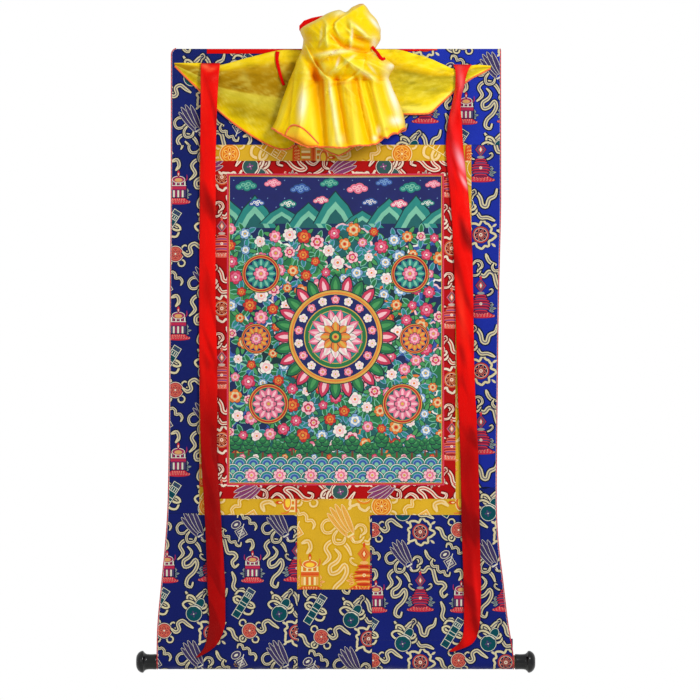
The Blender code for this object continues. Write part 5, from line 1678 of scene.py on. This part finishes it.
def build_stitches():
    """Rows of machine stitches along the seams."""
    length = sizes().stitch
    rows = {"gold": [], "blue": []}
    for left, right, top, foot, inset, lift in (
            (-WINDOW_SIDE, WINDOW_SIDE, WINDOW_TOP, WINDOW_FOOT, STITCH_INSET, CLOTH),
            (-RED_OUTER, RED_OUTER, RED_OUTER_TOP, RED_OUTER_FOOT, -STITCH_INSET, CLOTH),
            (PATCH_LEFT, PATCH_RIGHT, PATCH_TOP, PATCH_FOOT, STITCH_INSET, CLOTH + SEAM + SATIN)):
        left, right, top, foot = left + inset, right - inset, top - inset, foot + inset
        corners = ((left, top), (right, top), (right, foot), (left, foot), (left, top))
        rows["gold"] += [(start, end, lift) for start, end in zip(corners, corners[1:])]
    rows["blue"].append(((-0.336, -HEM_HEIGHT + 0.003), (0.344, -HEM_HEIGHT + 0.003), CLOTH))
    rows["blue"].append(((edge_at(SLEEVE_SEAM, "left") + 0.004, SLEEVE_SEAM + 0.001),
                         (edge_at(SLEEVE_SEAM, "right") - 0.004, SLEEVE_SEAM + 0.001), CLOTH))
    for name, shade, slot in (("gold", tone(226, 190, 70), "yellow_brocade"),
                              ("blue", tone(22, 26, 96), "blue_brocade")):
        points, faces = [], []
        for start, end, lift in rows[name]:
            stitch_line(points, faces, start, end, lift, length)
        mesh = smooth_mesh("stitches_" + name, points, faces)
        add_piece(mesh, cord_finish("thread_" + name, shade, 0.5), slot)


def build_roller():
    """The turned ends, and the finish of the rod."""
    finish_solid("roller_rod", timber_finish(colour("timber")))
    finish = lacquer_finish(colour("lacquer"))
    profile = smooth_path([(row.along_mm, row.radius_mm) for row in FINIAL[1:-1]], 0.8)
    profile = [(FINIAL[0].along_mm, 0.0)] + profile + [(FINIAL[-1].along_mm, 0.0)]
    steps = sizes().turned_steps
    shoulder = 2 * (PIPING_RADIUS + SEAM) + SEAM
    for side, sign, start in (("left", -1, SLEEVE_LEFT - shoulder), ("right", 1, SLEEVE_RIGHT + shoulder)):
        built = bmesh.new()
        rings = []
        for along, radius in profile:
            x = start + sign * along * MM
            if radius < 0.01:
                rings.append([built.verts.new((x, -ROD_DEPTH, ROD_HEIGHT))])
                continue
            rings.append([built.verts.new((x, -ROD_DEPTH + radius * MM * math.cos(angle),
                                           ROD_HEIGHT + radius * MM * math.sin(angle))) for angle in turns(steps)])
        for first, second in zip(rings, rings[1:]):
            for step in range(steps):
                after = (step + 1) % steps
                corners = [first[step % len(first)], first[after % len(first)],
                           second[after % len(second)], second[step % len(second)]]
                built.faces.new(list(dict.fromkeys(corners)))
        bmesh.ops.recalc_face_normals(built, faces=built.faces)
        mesh = bpy.data.meshes.new("roller_end_" + side)
        built.to_mesh(mesh)
        built.free()
        mesh.shade_smooth()
        mesh.set_sharp_from_angle(angle=math.radians(50))
        add_piece(mesh, finish, "black_lacquer", "finial_" + side)


# The veil

def crease_depth(x, z):
    """How far the broad folds move the gathered cloth towards the viewer, in mm."""
    total = 0.0
    for fold in CREASES:
        aside, beyond = beside_crease(fold, x, z)
        total += fold.height_mm * math.exp(-(aside / fold.width_mm) ** 2 - (beyond / 14.0) ** 2)
    return total


def beside_crease(fold, x, z):
    """How far a place lies beside a crease's line, and beyond its ends."""
    run = (fold.x1_mm - fold.x0_mm, fold.z1_mm - fold.z0_mm)
    length = math.hypot(*run)
    offset = (x - fold.x0_mm, z - fold.z0_mm)
    along = (offset[0] * run[0] + offset[1] * run[1]) / length
    aside = (offset[0] * run[1] - offset[1] * run[0]) / length
    return aside, max(0.0, -along, along - length)


def lap_depth(lap, x, z):
    """How far a lap lifts the cloth at a place: sharply at its line, then less and less away from it."""
    nearest = None
    for (x0, z0), (x1, z1) in zip(lap.line, lap.line[1:]):
        run = (x1 - x0, z1 - z0)
        length = math.hypot(*run)
        part = ((x - x0) * run[0] + (z - z0) * run[1]) / length ** 2
        inside = held(part)
        away = math.hypot(x - x0 - run[0] * inside, z - z0 - run[1] * inside)
        if nearest is None or away < nearest[0]:
            aside = (run[0] * (z - z0) - run[1] * (x - x0)) / length
            nearest = (away, aside, abs(part - inside) * length)
    _, aside, beyond = nearest
    edge = 1.0 / (1.0 + math.exp(-max(-30.0, min(30.0, (aside - 0.6) / 0.7))))
    return lap.height_mm * edge * math.exp(-max(0.0, aside) / lap.reach_mm - (beyond / 7.0) ** 2)


def with_painted_light(base, tints, x, z):
    """A colour with the patches of painted highlight and painted shade that lie on it, at a place in mm."""
    for patch in tints:
        dx, dz = x - patch.x_mm, z - patch.z_mm
        c, s = math.cos(patch.turn), math.sin(patch.turn)
        u, v = (dx * c + dz * s) / patch.across_mm, (dz * c - dx * s) / patch.high_mm
        away = u * u + v * v
        if away < 4:
            shade = tone(patch.red, patch.green, patch.blue)
            base = blend_colours(base, shade, patch.strength * math.exp(-away))
    return base


def fine_depth(x, z):
    """Laps, sharp creases and the small crumple of bunched silk, in mm."""
    total = sum(lap_depth(lap, x, z) for lap in LAPS)
    for fold in SHARP_CREASES:
        aside, beyond = beside_crease(fold, x, z)
        reach = fold.width_mm * (2.3 if aside > 0 else 0.75)
        if beyond < 22 and abs(aside) < 6 * reach:
            total += fold.height_mm * math.exp(-abs(aside) / reach - (beyond / 8.0) ** 2)
    skirt = held((-z - 66) / 12.0)
    bunch = 1.0 - skirt
    total += bunch * 3.2 * (0.32 - abs(crumple(x / 24, z / 24, 3.1)))
    total += bunch * 1.3 * (0.3 - abs(crumple(x / 10, z / 11, 7.7)))
    fan = (x - 18) / (1.0 + max(0.0, -z - 60) / 190)
    total += skirt * 3.0 * (0.3 - abs(crumple(fan / 9.0, z / 160, 1.4)))
    total += skirt * 1.1 * (0.3 - abs(crumple(fan / 4.0, z / 70, 5.2)))
    return total


FRONT_POINTS = 165
BACK_POINTS = 26
PUFF_RINGS = 110
SKIRT_RINGS = 80


def gather_ring(left, right, back, front, heights):
    """One ring of the gathered cloth: its points and how deep the fine folds are."""
    ring = []
    middle = (left + right) / 2
    half = (right - left) / 2
    for part in spaced(0.0, 1.0, FRONT_POINTS):
        x = middle - half * math.cos(math.pi * part)
        z = heights(x)[0]
        swell = math.sin(math.pi * part)
        depth = back + (front - back) * swell ** 0.8
        depth += (crease_depth(x, z) + fine_depth(x, z)) * min(1.0, 1.6 * swell)
        ring.append(Vector((x, -max(depth, back), z)) * MM)
    for part in spaced(0.0, 1.0, BACK_POINTS)[1:-1]:
        x = middle + half * math.cos(math.pi * part)
        z = heights(x)[1]
        ring.append(Vector((x, -(back - 1.5 * math.sin(math.pi * part)), z)) * MM)
    return ring


# The dip between the two lobes of the crown, and the uneven edge of the skirt
CROWN_DIP = namedtuple("Dip", "x_mm width_mm depth_mm")(22.0, 9.0, 10.0)


def below_dip(x, z):
    """Height of the crown's cloth once it has sunk into the dip."""
    share = held((z - 46.0) / 40.0)
    return z - CROWN_DIP.depth_mm * share * math.exp(-((x - CROWN_DIP.x_mm) / CROWN_DIP.width_mm) ** 2)


def hem_wave(x):
    """How far the skirt's front hem rises at a place, in mm."""
    ragged = held((x - 84.0) / 20.0)
    return 1.6 * crumple(x / 9.0, 0.0, 2.0) + ragged * 5.0 * abs(math.sin(x / 7.0))


def gather_rings():
    """Rings from the puff's crown down to the skirt's hem."""
    rings = []
    for z in spaced(PUFF[0].z_mm, PUFF[-1].z_mm, PUFF_RINGS - 1):
        left, right, back, front = table_row(PUFF, z)
        wobble = 1.3 * crumple(z / 13, 2.2, 0.0)
        rings.append(gather_ring(left + wobble, right + wobble, back, front, lambda x, z=z: (below_dip(x, z),) * 2))
    neck = PUFF[-1].z_mm

    def heights_at(part):
        def heights(x):
            front, back = (neck + (height - neck) * part for height in table_row(SKIRT_HEM, x))
            return front + hem_wave(x) * part ** 6, back
        return heights

    for part in spaced(0.0, 1.0, SKIRT_RINGS)[1:]:
        rings.append(gather_ring(*table_row(SKIRT, part), heights_at(part)))
    return rings


def ring_hollows(rings):
    """How far each front point lies behind the cloth round it, in mm."""
    depth = [[-point.y / MM for point in ring[:FRONT_POINTS + 1]] for ring in rings]
    rows, columns = len(depth), FRONT_POINTS + 1

    def sums(line, reach):
        total = [0.0]
        for value in line:
            total.append(total[-1] + value)
        return [(total[min(len(line), i + reach + 1)] - total[max(0, i - reach)])
                / (min(len(line), i + reach + 1) - max(0, i - reach)) for i in range(len(line))]

    def blurred(reach_down, reach_across):
        across = [sums(row, reach_across) for row in depth]
        turned = [sums([across[r][c] for r in range(rows)], reach_down) for c in range(columns)]
        return [[turned[c][r] for c in range(columns)] for r in range(rows)]

    wide, narrow = blurred(11, 13), blurred(2, 4)
    return ([[wide[r][c] - depth[r][c] for c in range(columns)] for r in range(rows)],
            [[narrow[r][c] - depth[r][c] for c in range(columns)] for r in range(rows)])


def build_gather():
    """The puff and skirt as one thin shell, open at its hem."""
    rings = gather_rings()
    count = len(rings[0])
    points = [point for ring in rings for point in ring]
    faces = []
    for start in range(0, count * (len(rings) - 1), count):
        for index in range(count):
            a, b = start + index, start + (index + 1) % count
            faces.append((a, a + count, b + count, b))
    tip = len(points)
    points.append(sum(rings[0], Vector()) / count)
    for index in range(count):
        faces.append((index, (index + 1) % count, tip))
    wide, narrow = ring_hollows(rings)
    silk, fold, painted_highlight = colour("silk"), colour("silk_fold"), colour("silk_crest")
    shades = []
    for row, ring in enumerate(rings):
        deepest = min(point.y for point in ring)
        for index in range(count):
            if index > FRONT_POINTS:
                # Points round the back get painted shade, and a painted highlight in the lowest rings
                low = row > len(rings) - 18
                shades.append(blend_colours(silk, painted_highlight, 0.5) if low else blend_colours(silk, fold, 0.35))
                continue
            hollow, dent = wide[row][index], narrow[row][index]
            place = ring[index] / MM
            # Painted highlights and painted shade from the patches, fading out on the flanks; then painted shade in
            # the hollows and a painted highlight on the crests, weaker on the skirt
            facing = held((ring[index].y / deepest - 0.08) / 0.27)
            shade = blend_colours(silk, with_painted_light(silk, VEIL_PAINTED_LIGHT, place.x, place.z), facing)
            strength, highlight_share = (0.15, 0.3) if row >= PUFF_RINGS else (0.8, 1.0)
            dark = strength * (0.05 * max(0.0, hollow - 1.0) + 0.17 * max(0.0, dent - 0.3))
            light = highlight_share * (0.02 * max(0.0, -hollow) + 0.3 * max(0.0, -dent - 0.2))
            shades.append(blend_colours(blend_colours(shade, fold, dark), painted_highlight, light))
    shades.append(silk)
    return points, faces, shades, rings


# Colour of a swag from its upper edge to its hem, with painted highlights on its bright bands and painted shade
# below its fold and in its olive middle
Shade = namedtuple("Shade", "fall red green blue")
SWAG_LEFT_PAINTED_LIGHT = tuple(starmap(Shade, (
    (0.0, 248, 214, 20), (0.10, 240, 202, 20), (0.17, 188, 142, 12), (0.34, 174, 130, 8), (0.47, 166, 124, 6),
    (0.50, 212, 190, 56), (0.58, 204, 184, 44), (0.70, 190, 160, 16), (0.82, 212, 180, 8), (0.92, 242, 206, 4),
    (1.0, 248, 212, 4),
)))
SWAG_RIGHT_PAINTED_LIGHT = tuple(starmap(Shade, (
    (0.0, 255, 226, 24), (0.20, 252, 214, 16), (0.29, 232, 190, 20), (0.34, 194, 170, 30), (0.55, 206, 184, 30),
    (0.70, 224, 198, 26), (0.80, 248, 218, 20), (0.92, 255, 238, 96), (1.0, 255, 232, 60),
)))


def build_swag(rows, shades, along, down):
    """One side of the veil: its points, faces, colours and the line of its hem."""
    Keyed = namedtuple("Keyed", "part " + " ".join(Swag._fields))
    table = [Keyed(index / (len(rows) - 1), *row) for index, row in enumerate(rows)]
    points, colours, hem = [], [], []
    silk, painted_highlight = colour("silk"), colour("silk_crest")
    for part in spaced(0.0, 1.0, along):
        x_up, z_up, x_low, z_low, gap, roll = (value * MM for value in table_row(table, part))
        for row, fall in enumerate(spaced(0.0, 1.0, down)):
            x = x_up + (x_low - x_up) * fall
            z = z_up + (z_low - z_up) * fall
            fold = math.exp(-((fall - 0.2) / 0.13) ** 2) + 0.55 * math.exp(-((fall - 0.8) / 0.2) ** 2)
            fold += 0.25 * math.exp(-((fall - 0.5) / 0.08) ** 2)
            small = 0.0024 * (0.3 - abs(crumple(x / 0.06, (z + 0.15 * x) / 0.016, 4.4)))
            small += 0.0013 * (0.3 - abs(crumple((x + 0.7 * z) / 0.02, (z - 0.3 * x) / 0.007, 9.1)))
            small *= min(1.0, 6 * min(part, 1 - part) + 0.1)
            lift = gap + roll * fold + max(small, 0.0002 - gap)
            points.append(Vector((x, -front_of_mount(x, min(z, 0.0)) - lift, z)))
            # The table's painted light and shade, softened towards the silk near the gather
            shade = tone(*table_row(shades, fall))
            near = max(0.0, (part - 0.62) / 0.3)
            shade = blend_colours(shade, silk, min(1.0, near) * 0.5)
            # Streaks of painted highlight and painted shade along small random creases, then painted shade where the
            # small crumples dip
            grain = crumple((x + 0.5 * z) / 0.03, (z - 0.3 * x) / 0.008, 5.0)
            grain += 0.6 * crumple((x - 0.6 * z) / 0.012, (z + 0.4 * x) / 0.004, 8.0)
            shade = blend_colours(shade, painted_highlight if grain > 0 else darker(shade, 0.62), min(0.4, 0.42 * abs(grain)))
            colours.append(blend_colours(shade, darker(shade, 0.7), max(0.0, -small) / 0.001))
        hem.append(points[-1].copy())
    return points, grid_faces(along, down, reverse=True), colours, hem


# The part of the skirt's hem that is folded back up over its front: upper and lower edge in mm
FLAP_TOP = ((-105, -187), (-97, -170), (-84, -166), (-62, -178), (-36, -205))
FLAP_FOOT = ((-105, -187), (-90, -195), (-76, -202), (-58, -210), (-36, -209))
FLAP_ROWS = 6


def build_flap(points, faces):
    """The folded-back hem, laid on the skirt: its points, faces and edge."""
    skirt = BVHTree.FromPolygons(points, faces)
    viewer = Vector((0.0, -1.0, 0.0))
    along, across = 40, FLAP_ROWS
    edges = [smooth_path(line, 0.8) for line in (FLAP_TOP, FLAP_FOOT)]
    corners = []
    for part in spaced(0.0, 1.0, along):
        (x_top, z_top), (x_foot, z_foot) = (edge[round(part * (len(edge) - 1))] for edge in edges)
        for fall in spaced(0.0, 1.0, across):
            x, z = x_top + (x_foot - x_top) * fall, z_top + (z_foot - z_top) * fall
            hit = skirt.ray_cast(Vector((x * MM, 0.0, z * MM)) + viewer, -viewer)[0]
            lift = 0.9 + 3.6 * math.sin(math.pi * part) ** 0.6 * math.sin(math.pi * (0.1 + 0.8 * fall))
            corners.append(Vector((x * MM, hit.y - lift * MM, z * MM)))
    upper = [corners[column * (across + 1)].copy() for column in range(along + 1)]
    return corners, grid_faces(along, across, reverse=True), upper


def build_veil():
    """The yellow silk: swags, puff and skirt, with their overlocked edges."""
    points, faces, shades, rings = build_gather()
    hems = [[point.copy() for point in rings[-1][:FRONT_POINTS + 1]],
            [point.copy() for point in rings[-1][FRONT_POINTS:] + rings[-1][:1]]]
    more, quads, edge = build_flap(points, faces)
    join_mesh(points, faces, more, quads)
    # Painted shade on the flap, deepening to orange towards its lower edge
    bend = colour("silk_flap")
    shades.extend(blend_colours(bend, colour("overlock"), 0.8 * ((index % (FLAP_ROWS + 1)) / FLAP_ROWS) ** 2.5)
                  for index in range(len(more)))
    hems.append(edge)
    for rows, colours in ((SWAG_LEFT, SWAG_LEFT_PAINTED_LIGHT), (SWAG_RIGHT, SWAG_RIGHT_PAINTED_LIGHT)):
        more, quads, tones, hem = build_swag(rows, colours, 90, 44)
        join_mesh(points, faces, more, quads)
        shades.extend(tones)
        hems.append(hem[:62])
    mesh = bpy.data.meshes.new("silk_veil")
    mesh.from_pydata(points, [], faces)
    paint_points(mesh, shades)
    cleaned = bmesh.new()
    cleaned.from_mesh(mesh)
    bmesh.ops.recalc_face_normals(cleaned, faces=cleaned.faces)
    cleaned.to_mesh(mesh)
    cleaned.free()
    mesh.shade_smooth()
    finish = silk_finish("veil_silk", None, sizes().silk_pitch, rough=0.34, relief=0.35, wrinkle=0.014,
                         depth=0.0012, Sheen_Weight=0.08, Sheen_Roughness=0.3, Sheen_Tint=(1.0, 0.7, 0.1, 1.0),
                         Specular_IOR_Level=0.4, Specular_Tint=(1.0, 0.8, 0.1, 1.0))
    veil = add_piece(mesh, finish, "yellow_silk", "veil")
    thicken(veil, sizes().silk_thickness, -1.0)
    edge = join_tubes("veil_overlock", hems, sizes().overlock, 6)
    thread = cord_finish("overlock_thread", colour("overlock"), 0.72)
    overlock = add_piece(edge, thread, "yellow_silk")
    return veil


# Tapes and streamers

def build_streamers():
    """The two satin ribbons that hang over the front."""
    finish = silk_finish("ribbon_satin", None, sizes().silk_pitch, rough=0.3, across=0.5, wrinkle=0.03,
                         depth=0.002, mottle=0.1, Sheen_Weight=0.1, Sheen_Roughness=0.3,
                         Sheen_Tint=(1.0, 0.3, 0.3, 1.0), Specular_IOR_Level=0.6,
                         Specular_Tint=(1.0, 0.12, 0.08, 1.0))
    across, down = 16, 300
    for name, rows, shaded in (("streamer_left", STREAMER_LEFT, 0.8), ("streamer_right", STREAMER_RIGHT, 0.5)):
        top, foot = rows[0].z_mm, rows[-1].z_mm
        points, shades = [], []
        for index in range(down + 1):
            height = top + (foot - top) * index / down
            left, right, left_gap, right_gap, crown = table_row(rows, height)
            ease = min(1.0, index / 12, (down - index) / 12)
            for part in spaced(0.0, 1.0, across):
                x = left + (right - left) * part
                gap = left_gap + (right_gap - left_gap) * part + crown * math.sin(math.pi * part)
                gap += ease * (1.6 * crumple(x / 14 + height / 90, height / 80, 2.0)
                               + 0.5 * crumple(x / 6, height / 30, 6.0))
                x += ease * 0.7 * crumple(height / 40, 1.0 if part < 0.5 else 5.0, 0.0) * abs(2 * part - 1)
                points.append(Vector((x * MM, -front_of_mount(x * MM, height * MM) - gap * MM, height * MM)))
                # Painted shade on random folds and, as much as shaded gives, down the lower part; then the painted
                # patches
                deep = crumple(x / 16 + height / 60, height / 75, 3.3)
                lower = held((-height - 620) / 240) * shaded
                shade = blend_colours(colour("satin"), colour("satin_fold"), 1.4 * max(0.0, deep - 0.05) + lower)
                shades.append(with_painted_light(shade, STREAMER_PAINTED_LIGHT, x, height))
        mesh = smooth_mesh("satin_" + name, points, grid_faces(down, across))
        paint_points(mesh, shades)
        piece = add_piece(mesh, finish, "red_satin", name)
        thicken(piece, 0.7 * SATIN, 1.0)


def build_tapes(veil):
    """The ties laid on the veil, and the finish of the tape with the loop."""
    finish = silk_finish("tape_satin", darker(colour("satin"), 0.8), sizes().silk_pitch, rough=0.35,
                         wrinkle=0.01, Specular_IOR_Level=0.4, Specular_Tint=(1.0, 0.12, 0.08, 1.0))
    finish_solid("hanging_tape", finish)
    bpy.context.view_layer.update()
    cloth = BVHTree.FromObject(veil, bpy.context.evaluated_depsgraph_get())
    viewer = Vector((0.0, -1.0, 0.0))
    for name, rows in (("tie_left", TIE_LEFT), ("tie_right", TIE_RIGHT)):
        line = smooth_path([(row.x_mm, row.z_mm, row.width_mm) for row in rows], 2.0)
        places, fronts = [], []
        for index, (x, z, width) in enumerate(line):
            before, after = line[max(index - 1, 0)], line[min(index + 1, len(line) - 1)]
            run = (after[0] - before[0], after[1] - before[1])
            scale = width / 2 / math.hypot(*run)
            places.append([((x - side * run[1] * scale) * MM, (z + side * run[0] * scale) * MM)
                           for side in (-1, -0.5, 0, 0.5, 1)])
            hits = [cloth.ray_cast(Vector((px, 0.0, pz)) + viewer, -viewer)[0] for px, pz in places[-1]]
            fronts.append(min([hit.y for hit in hits if hit is not None] + [-HEM_DEPTH]))
        points = []
        for index, row in enumerate(places):
            nearest = min(fronts[max(index - 3, 0):index + 4])
            for part, (x, z) in zip((0.0, 0.5, 1.0, 0.5, 0.0), row):
                points.append(Vector((x, nearest - TIE_LIFT - 0.0003 * part, z)))
        mesh = smooth_mesh("satin_" + name, points, grid_faces(len(places) - 1, 4))
        thicken(add_piece(mesh, finish, "red_satin", name), 0.5 * SATIN, 1.0)


# Stage

CAMERA_X, CAMERA_Z = 0.0308, -0.6396
SENSOR = 36.0
WORLD_LIGHT = 0.62
FLOOR_HEIGHT = -1.75
FLOOR_HALF = 1.5
FLOOR_PAINT = (0.82, 0.82, 0.81, 1.0)


def add_light(name, place, target, energy, size):
    """A soft rectangular lamp turned to a target."""
    lamp = bpy.data.lights.new(name, "AREA")
    lamp.shape = "RECTANGLE"
    lamp.size, lamp.size_y = size
    lamp.energy = energy
    holder = bpy.data.objects.new(name, lamp)
    bpy.context.scene.collection.objects.link(holder)
    holder.location = place
    holder.rotation_euler = (Vector(target) - Vector(place)).to_track_quat("-Z", "Y").to_euler()


def build_stage():
    """The camera, the lamps, the pale surroundings and the floor."""
    scene = bpy.context.scene
    distance = sizes().camera_distance
    data = bpy.data.cameras.new("view_camera")
    data.sensor_width = SENSOR
    data.lens = SENSOR * distance / sizes().view_width
    data.clip_end = 60.0
    camera = bpy.data.objects.new("view_camera", data)
    scene.collection.objects.link(camera)
    camera.location = (CAMERA_X, -distance, CAMERA_Z)
    camera.rotation_euler = (math.radians(90), 0.0, 0.0)
    scene.camera = camera
    world = bpy.data.worlds.new("pale_surroundings")
    world.use_nodes = True
    tree = world.node_tree
    around = tree.nodes["Background"]
    around.inputs["Color"].default_value = (*colour("wall_light"), 1.0)
    around.inputs["Strength"].default_value = WORLD_LIGHT
    behind = node(tree, "ShaderNodeBackground", {"Color": (*colour("wall_light"), 1.0)})
    seen = node(tree, "ShaderNodeLightPath").outputs["Is Camera Ray"]
    both = node(tree, "ShaderNodeMixShader", {0: seen, 1: around.outputs[0], 2: behind.outputs[0]})
    tree.links.new(both.outputs[0], tree.nodes["World Output"].inputs["Surface"])
    scene.world = world
    scene.view_settings.view_transform = "Standard"
    add_light("key_lamp", (1.8, -2.7, 1.0), (0.0, 0.0, -0.5), 76.0, (0.9, 0.9))
    add_light("fill_lamp", (-2.6, -3.0, 0.0), (0.0, 0.0, -0.6), 12.0, (1.6, 2.0))
    mesh = bpy.data.meshes.new("pale_floor")
    mesh.from_pydata([(x, y, FLOOR_HEIGHT) for x, y in box(-FLOOR_HALF, FLOOR_HALF, -FLOOR_HALF, FLOOR_HALF)], [],
                     [(0, 1, 2, 3)])
    material, tree, shader = new_finish("floor_paint", Roughness=0.8)
    mottled = use_group(tree, mottle_group(), Amount=0.04, Size=0.4, Color=FLOOR_PAINT)
    tree.links.new(mottled["Color"], shader.inputs["Base Color"])
    mesh.materials.append(material)
    floor = bpy.data.objects.new("pale_floor", mesh)
    scene.collection.objects.link(floor)


# Operators and panel

class SCROLL_OT_stage(Operator):
    """Add the camera, lamps, surroundings and floor"""

    bl_idname = "scroll.stage"
    bl_label = "Stage"

    def execute(self, context):
        build_stage()
        return {"FINISHED"}


class SCROLL_OT_mount(Operator):
    """Weave the blue brocade mount"""

    bl_idname = "scroll.mount"
    bl_label = "Mount"

    def execute(self, context):
        build_mount()
        return {"FINISHED"}


class SCROLL_OT_frames(Operator):
    """Weave the crimson and yellow strips and the door patch"""

    bl_idname = "scroll.frames"
    bl_label = "Frames and patch"

    def execute(self, context):
        build_frames()
        build_patch()
        return {"FINISHED"}


class SCROLL_OT_picture(Operator):
    """Paint the picture cloth"""

    bl_idname = "scroll.picture"
    bl_label = "Picture"

    def execute(self, context):
        build_picture()
        return {"FINISHED"}


class SCROLL_OT_trimmings(Operator):
    """Add the piping and the rows of stitches"""

    bl_idname = "scroll.trimmings"
    bl_label = "Piping and stitches"

    def execute(self, context):
        build_piping()
        build_stitches()
        return {"FINISHED"}


class SCROLL_OT_roller(Operator):
    """Turn the roller ends and finish the rod"""

    bl_idname = "scroll.roller"
    bl_label = "Roller"

    def execute(self, context):
        build_roller()
        return {"FINISHED"}


class SCROLL_OT_veil(Operator):
    """Gather the silk veil, then hang the streamers and ties on it"""

    bl_idname = "scroll.veil"
    bl_label = "Veil, streamers and ties"

    def execute(self, context):
        veil = build_veil()
        build_streamers()
        build_tapes(veil)
        return {"FINISHED"}


OPERATORS = (SCROLL_OT_stage, SCROLL_OT_mount, SCROLL_OT_frames, SCROLL_OT_picture, SCROLL_OT_trimmings,
             SCROLL_OT_roller, SCROLL_OT_veil)


class SCROLL_PT_panel(Panel):
    """The scroll's settings and pieces"""

    bl_idname = "SCROLL_PT_panel"
    bl_label = "Scroll painting"
    bl_space_type = "VIEW_3D"
    bl_region_type = "UI"
    bl_category = "Scroll painting"

    def draw(self, context):
        for group in (context.scene.scroll_sizes, context.scene.scroll_colours):
            column = self.layout.column(align=True)
            for name in group.__annotations__:
                column.prop(group, name)
        column = self.layout.column(align=True)
        for operator in OPERATORS:
            column.operator(operator.bl_idname)


CLASSES = (ScrollSizes, ScrollColours, *OPERATORS, SCROLL_PT_panel)


def register():
    """Add the settings, operators and panel."""
    for made in CLASSES:
        bpy.utils.register_class(made)
    bpy.types.Scene.scroll_sizes = PointerProperty(type=ScrollSizes)
    bpy.types.Scene.scroll_colours = PointerProperty(type=ScrollColours)


def unregister():
    """Take them out again."""
    del bpy.types.Scene.scroll_colours
    del bpy.types.Scene.scroll_sizes
    for made in reversed(CLASSES):
        bpy.utils.unregister_class(made)


def main():
    """Dress the whole scroll."""
    register()
    bpy.ops.scroll.stage()
    bpy.ops.scroll.mount()
    bpy.ops.scroll.frames()
    bpy.ops.scroll.picture()
    bpy.ops.scroll.trimmings()
    bpy.ops.scroll.roller()
    bpy.ops.scroll.veil()
    bpy.context.view_layer.update()
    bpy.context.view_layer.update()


if __name__ == "__main__":
    main()
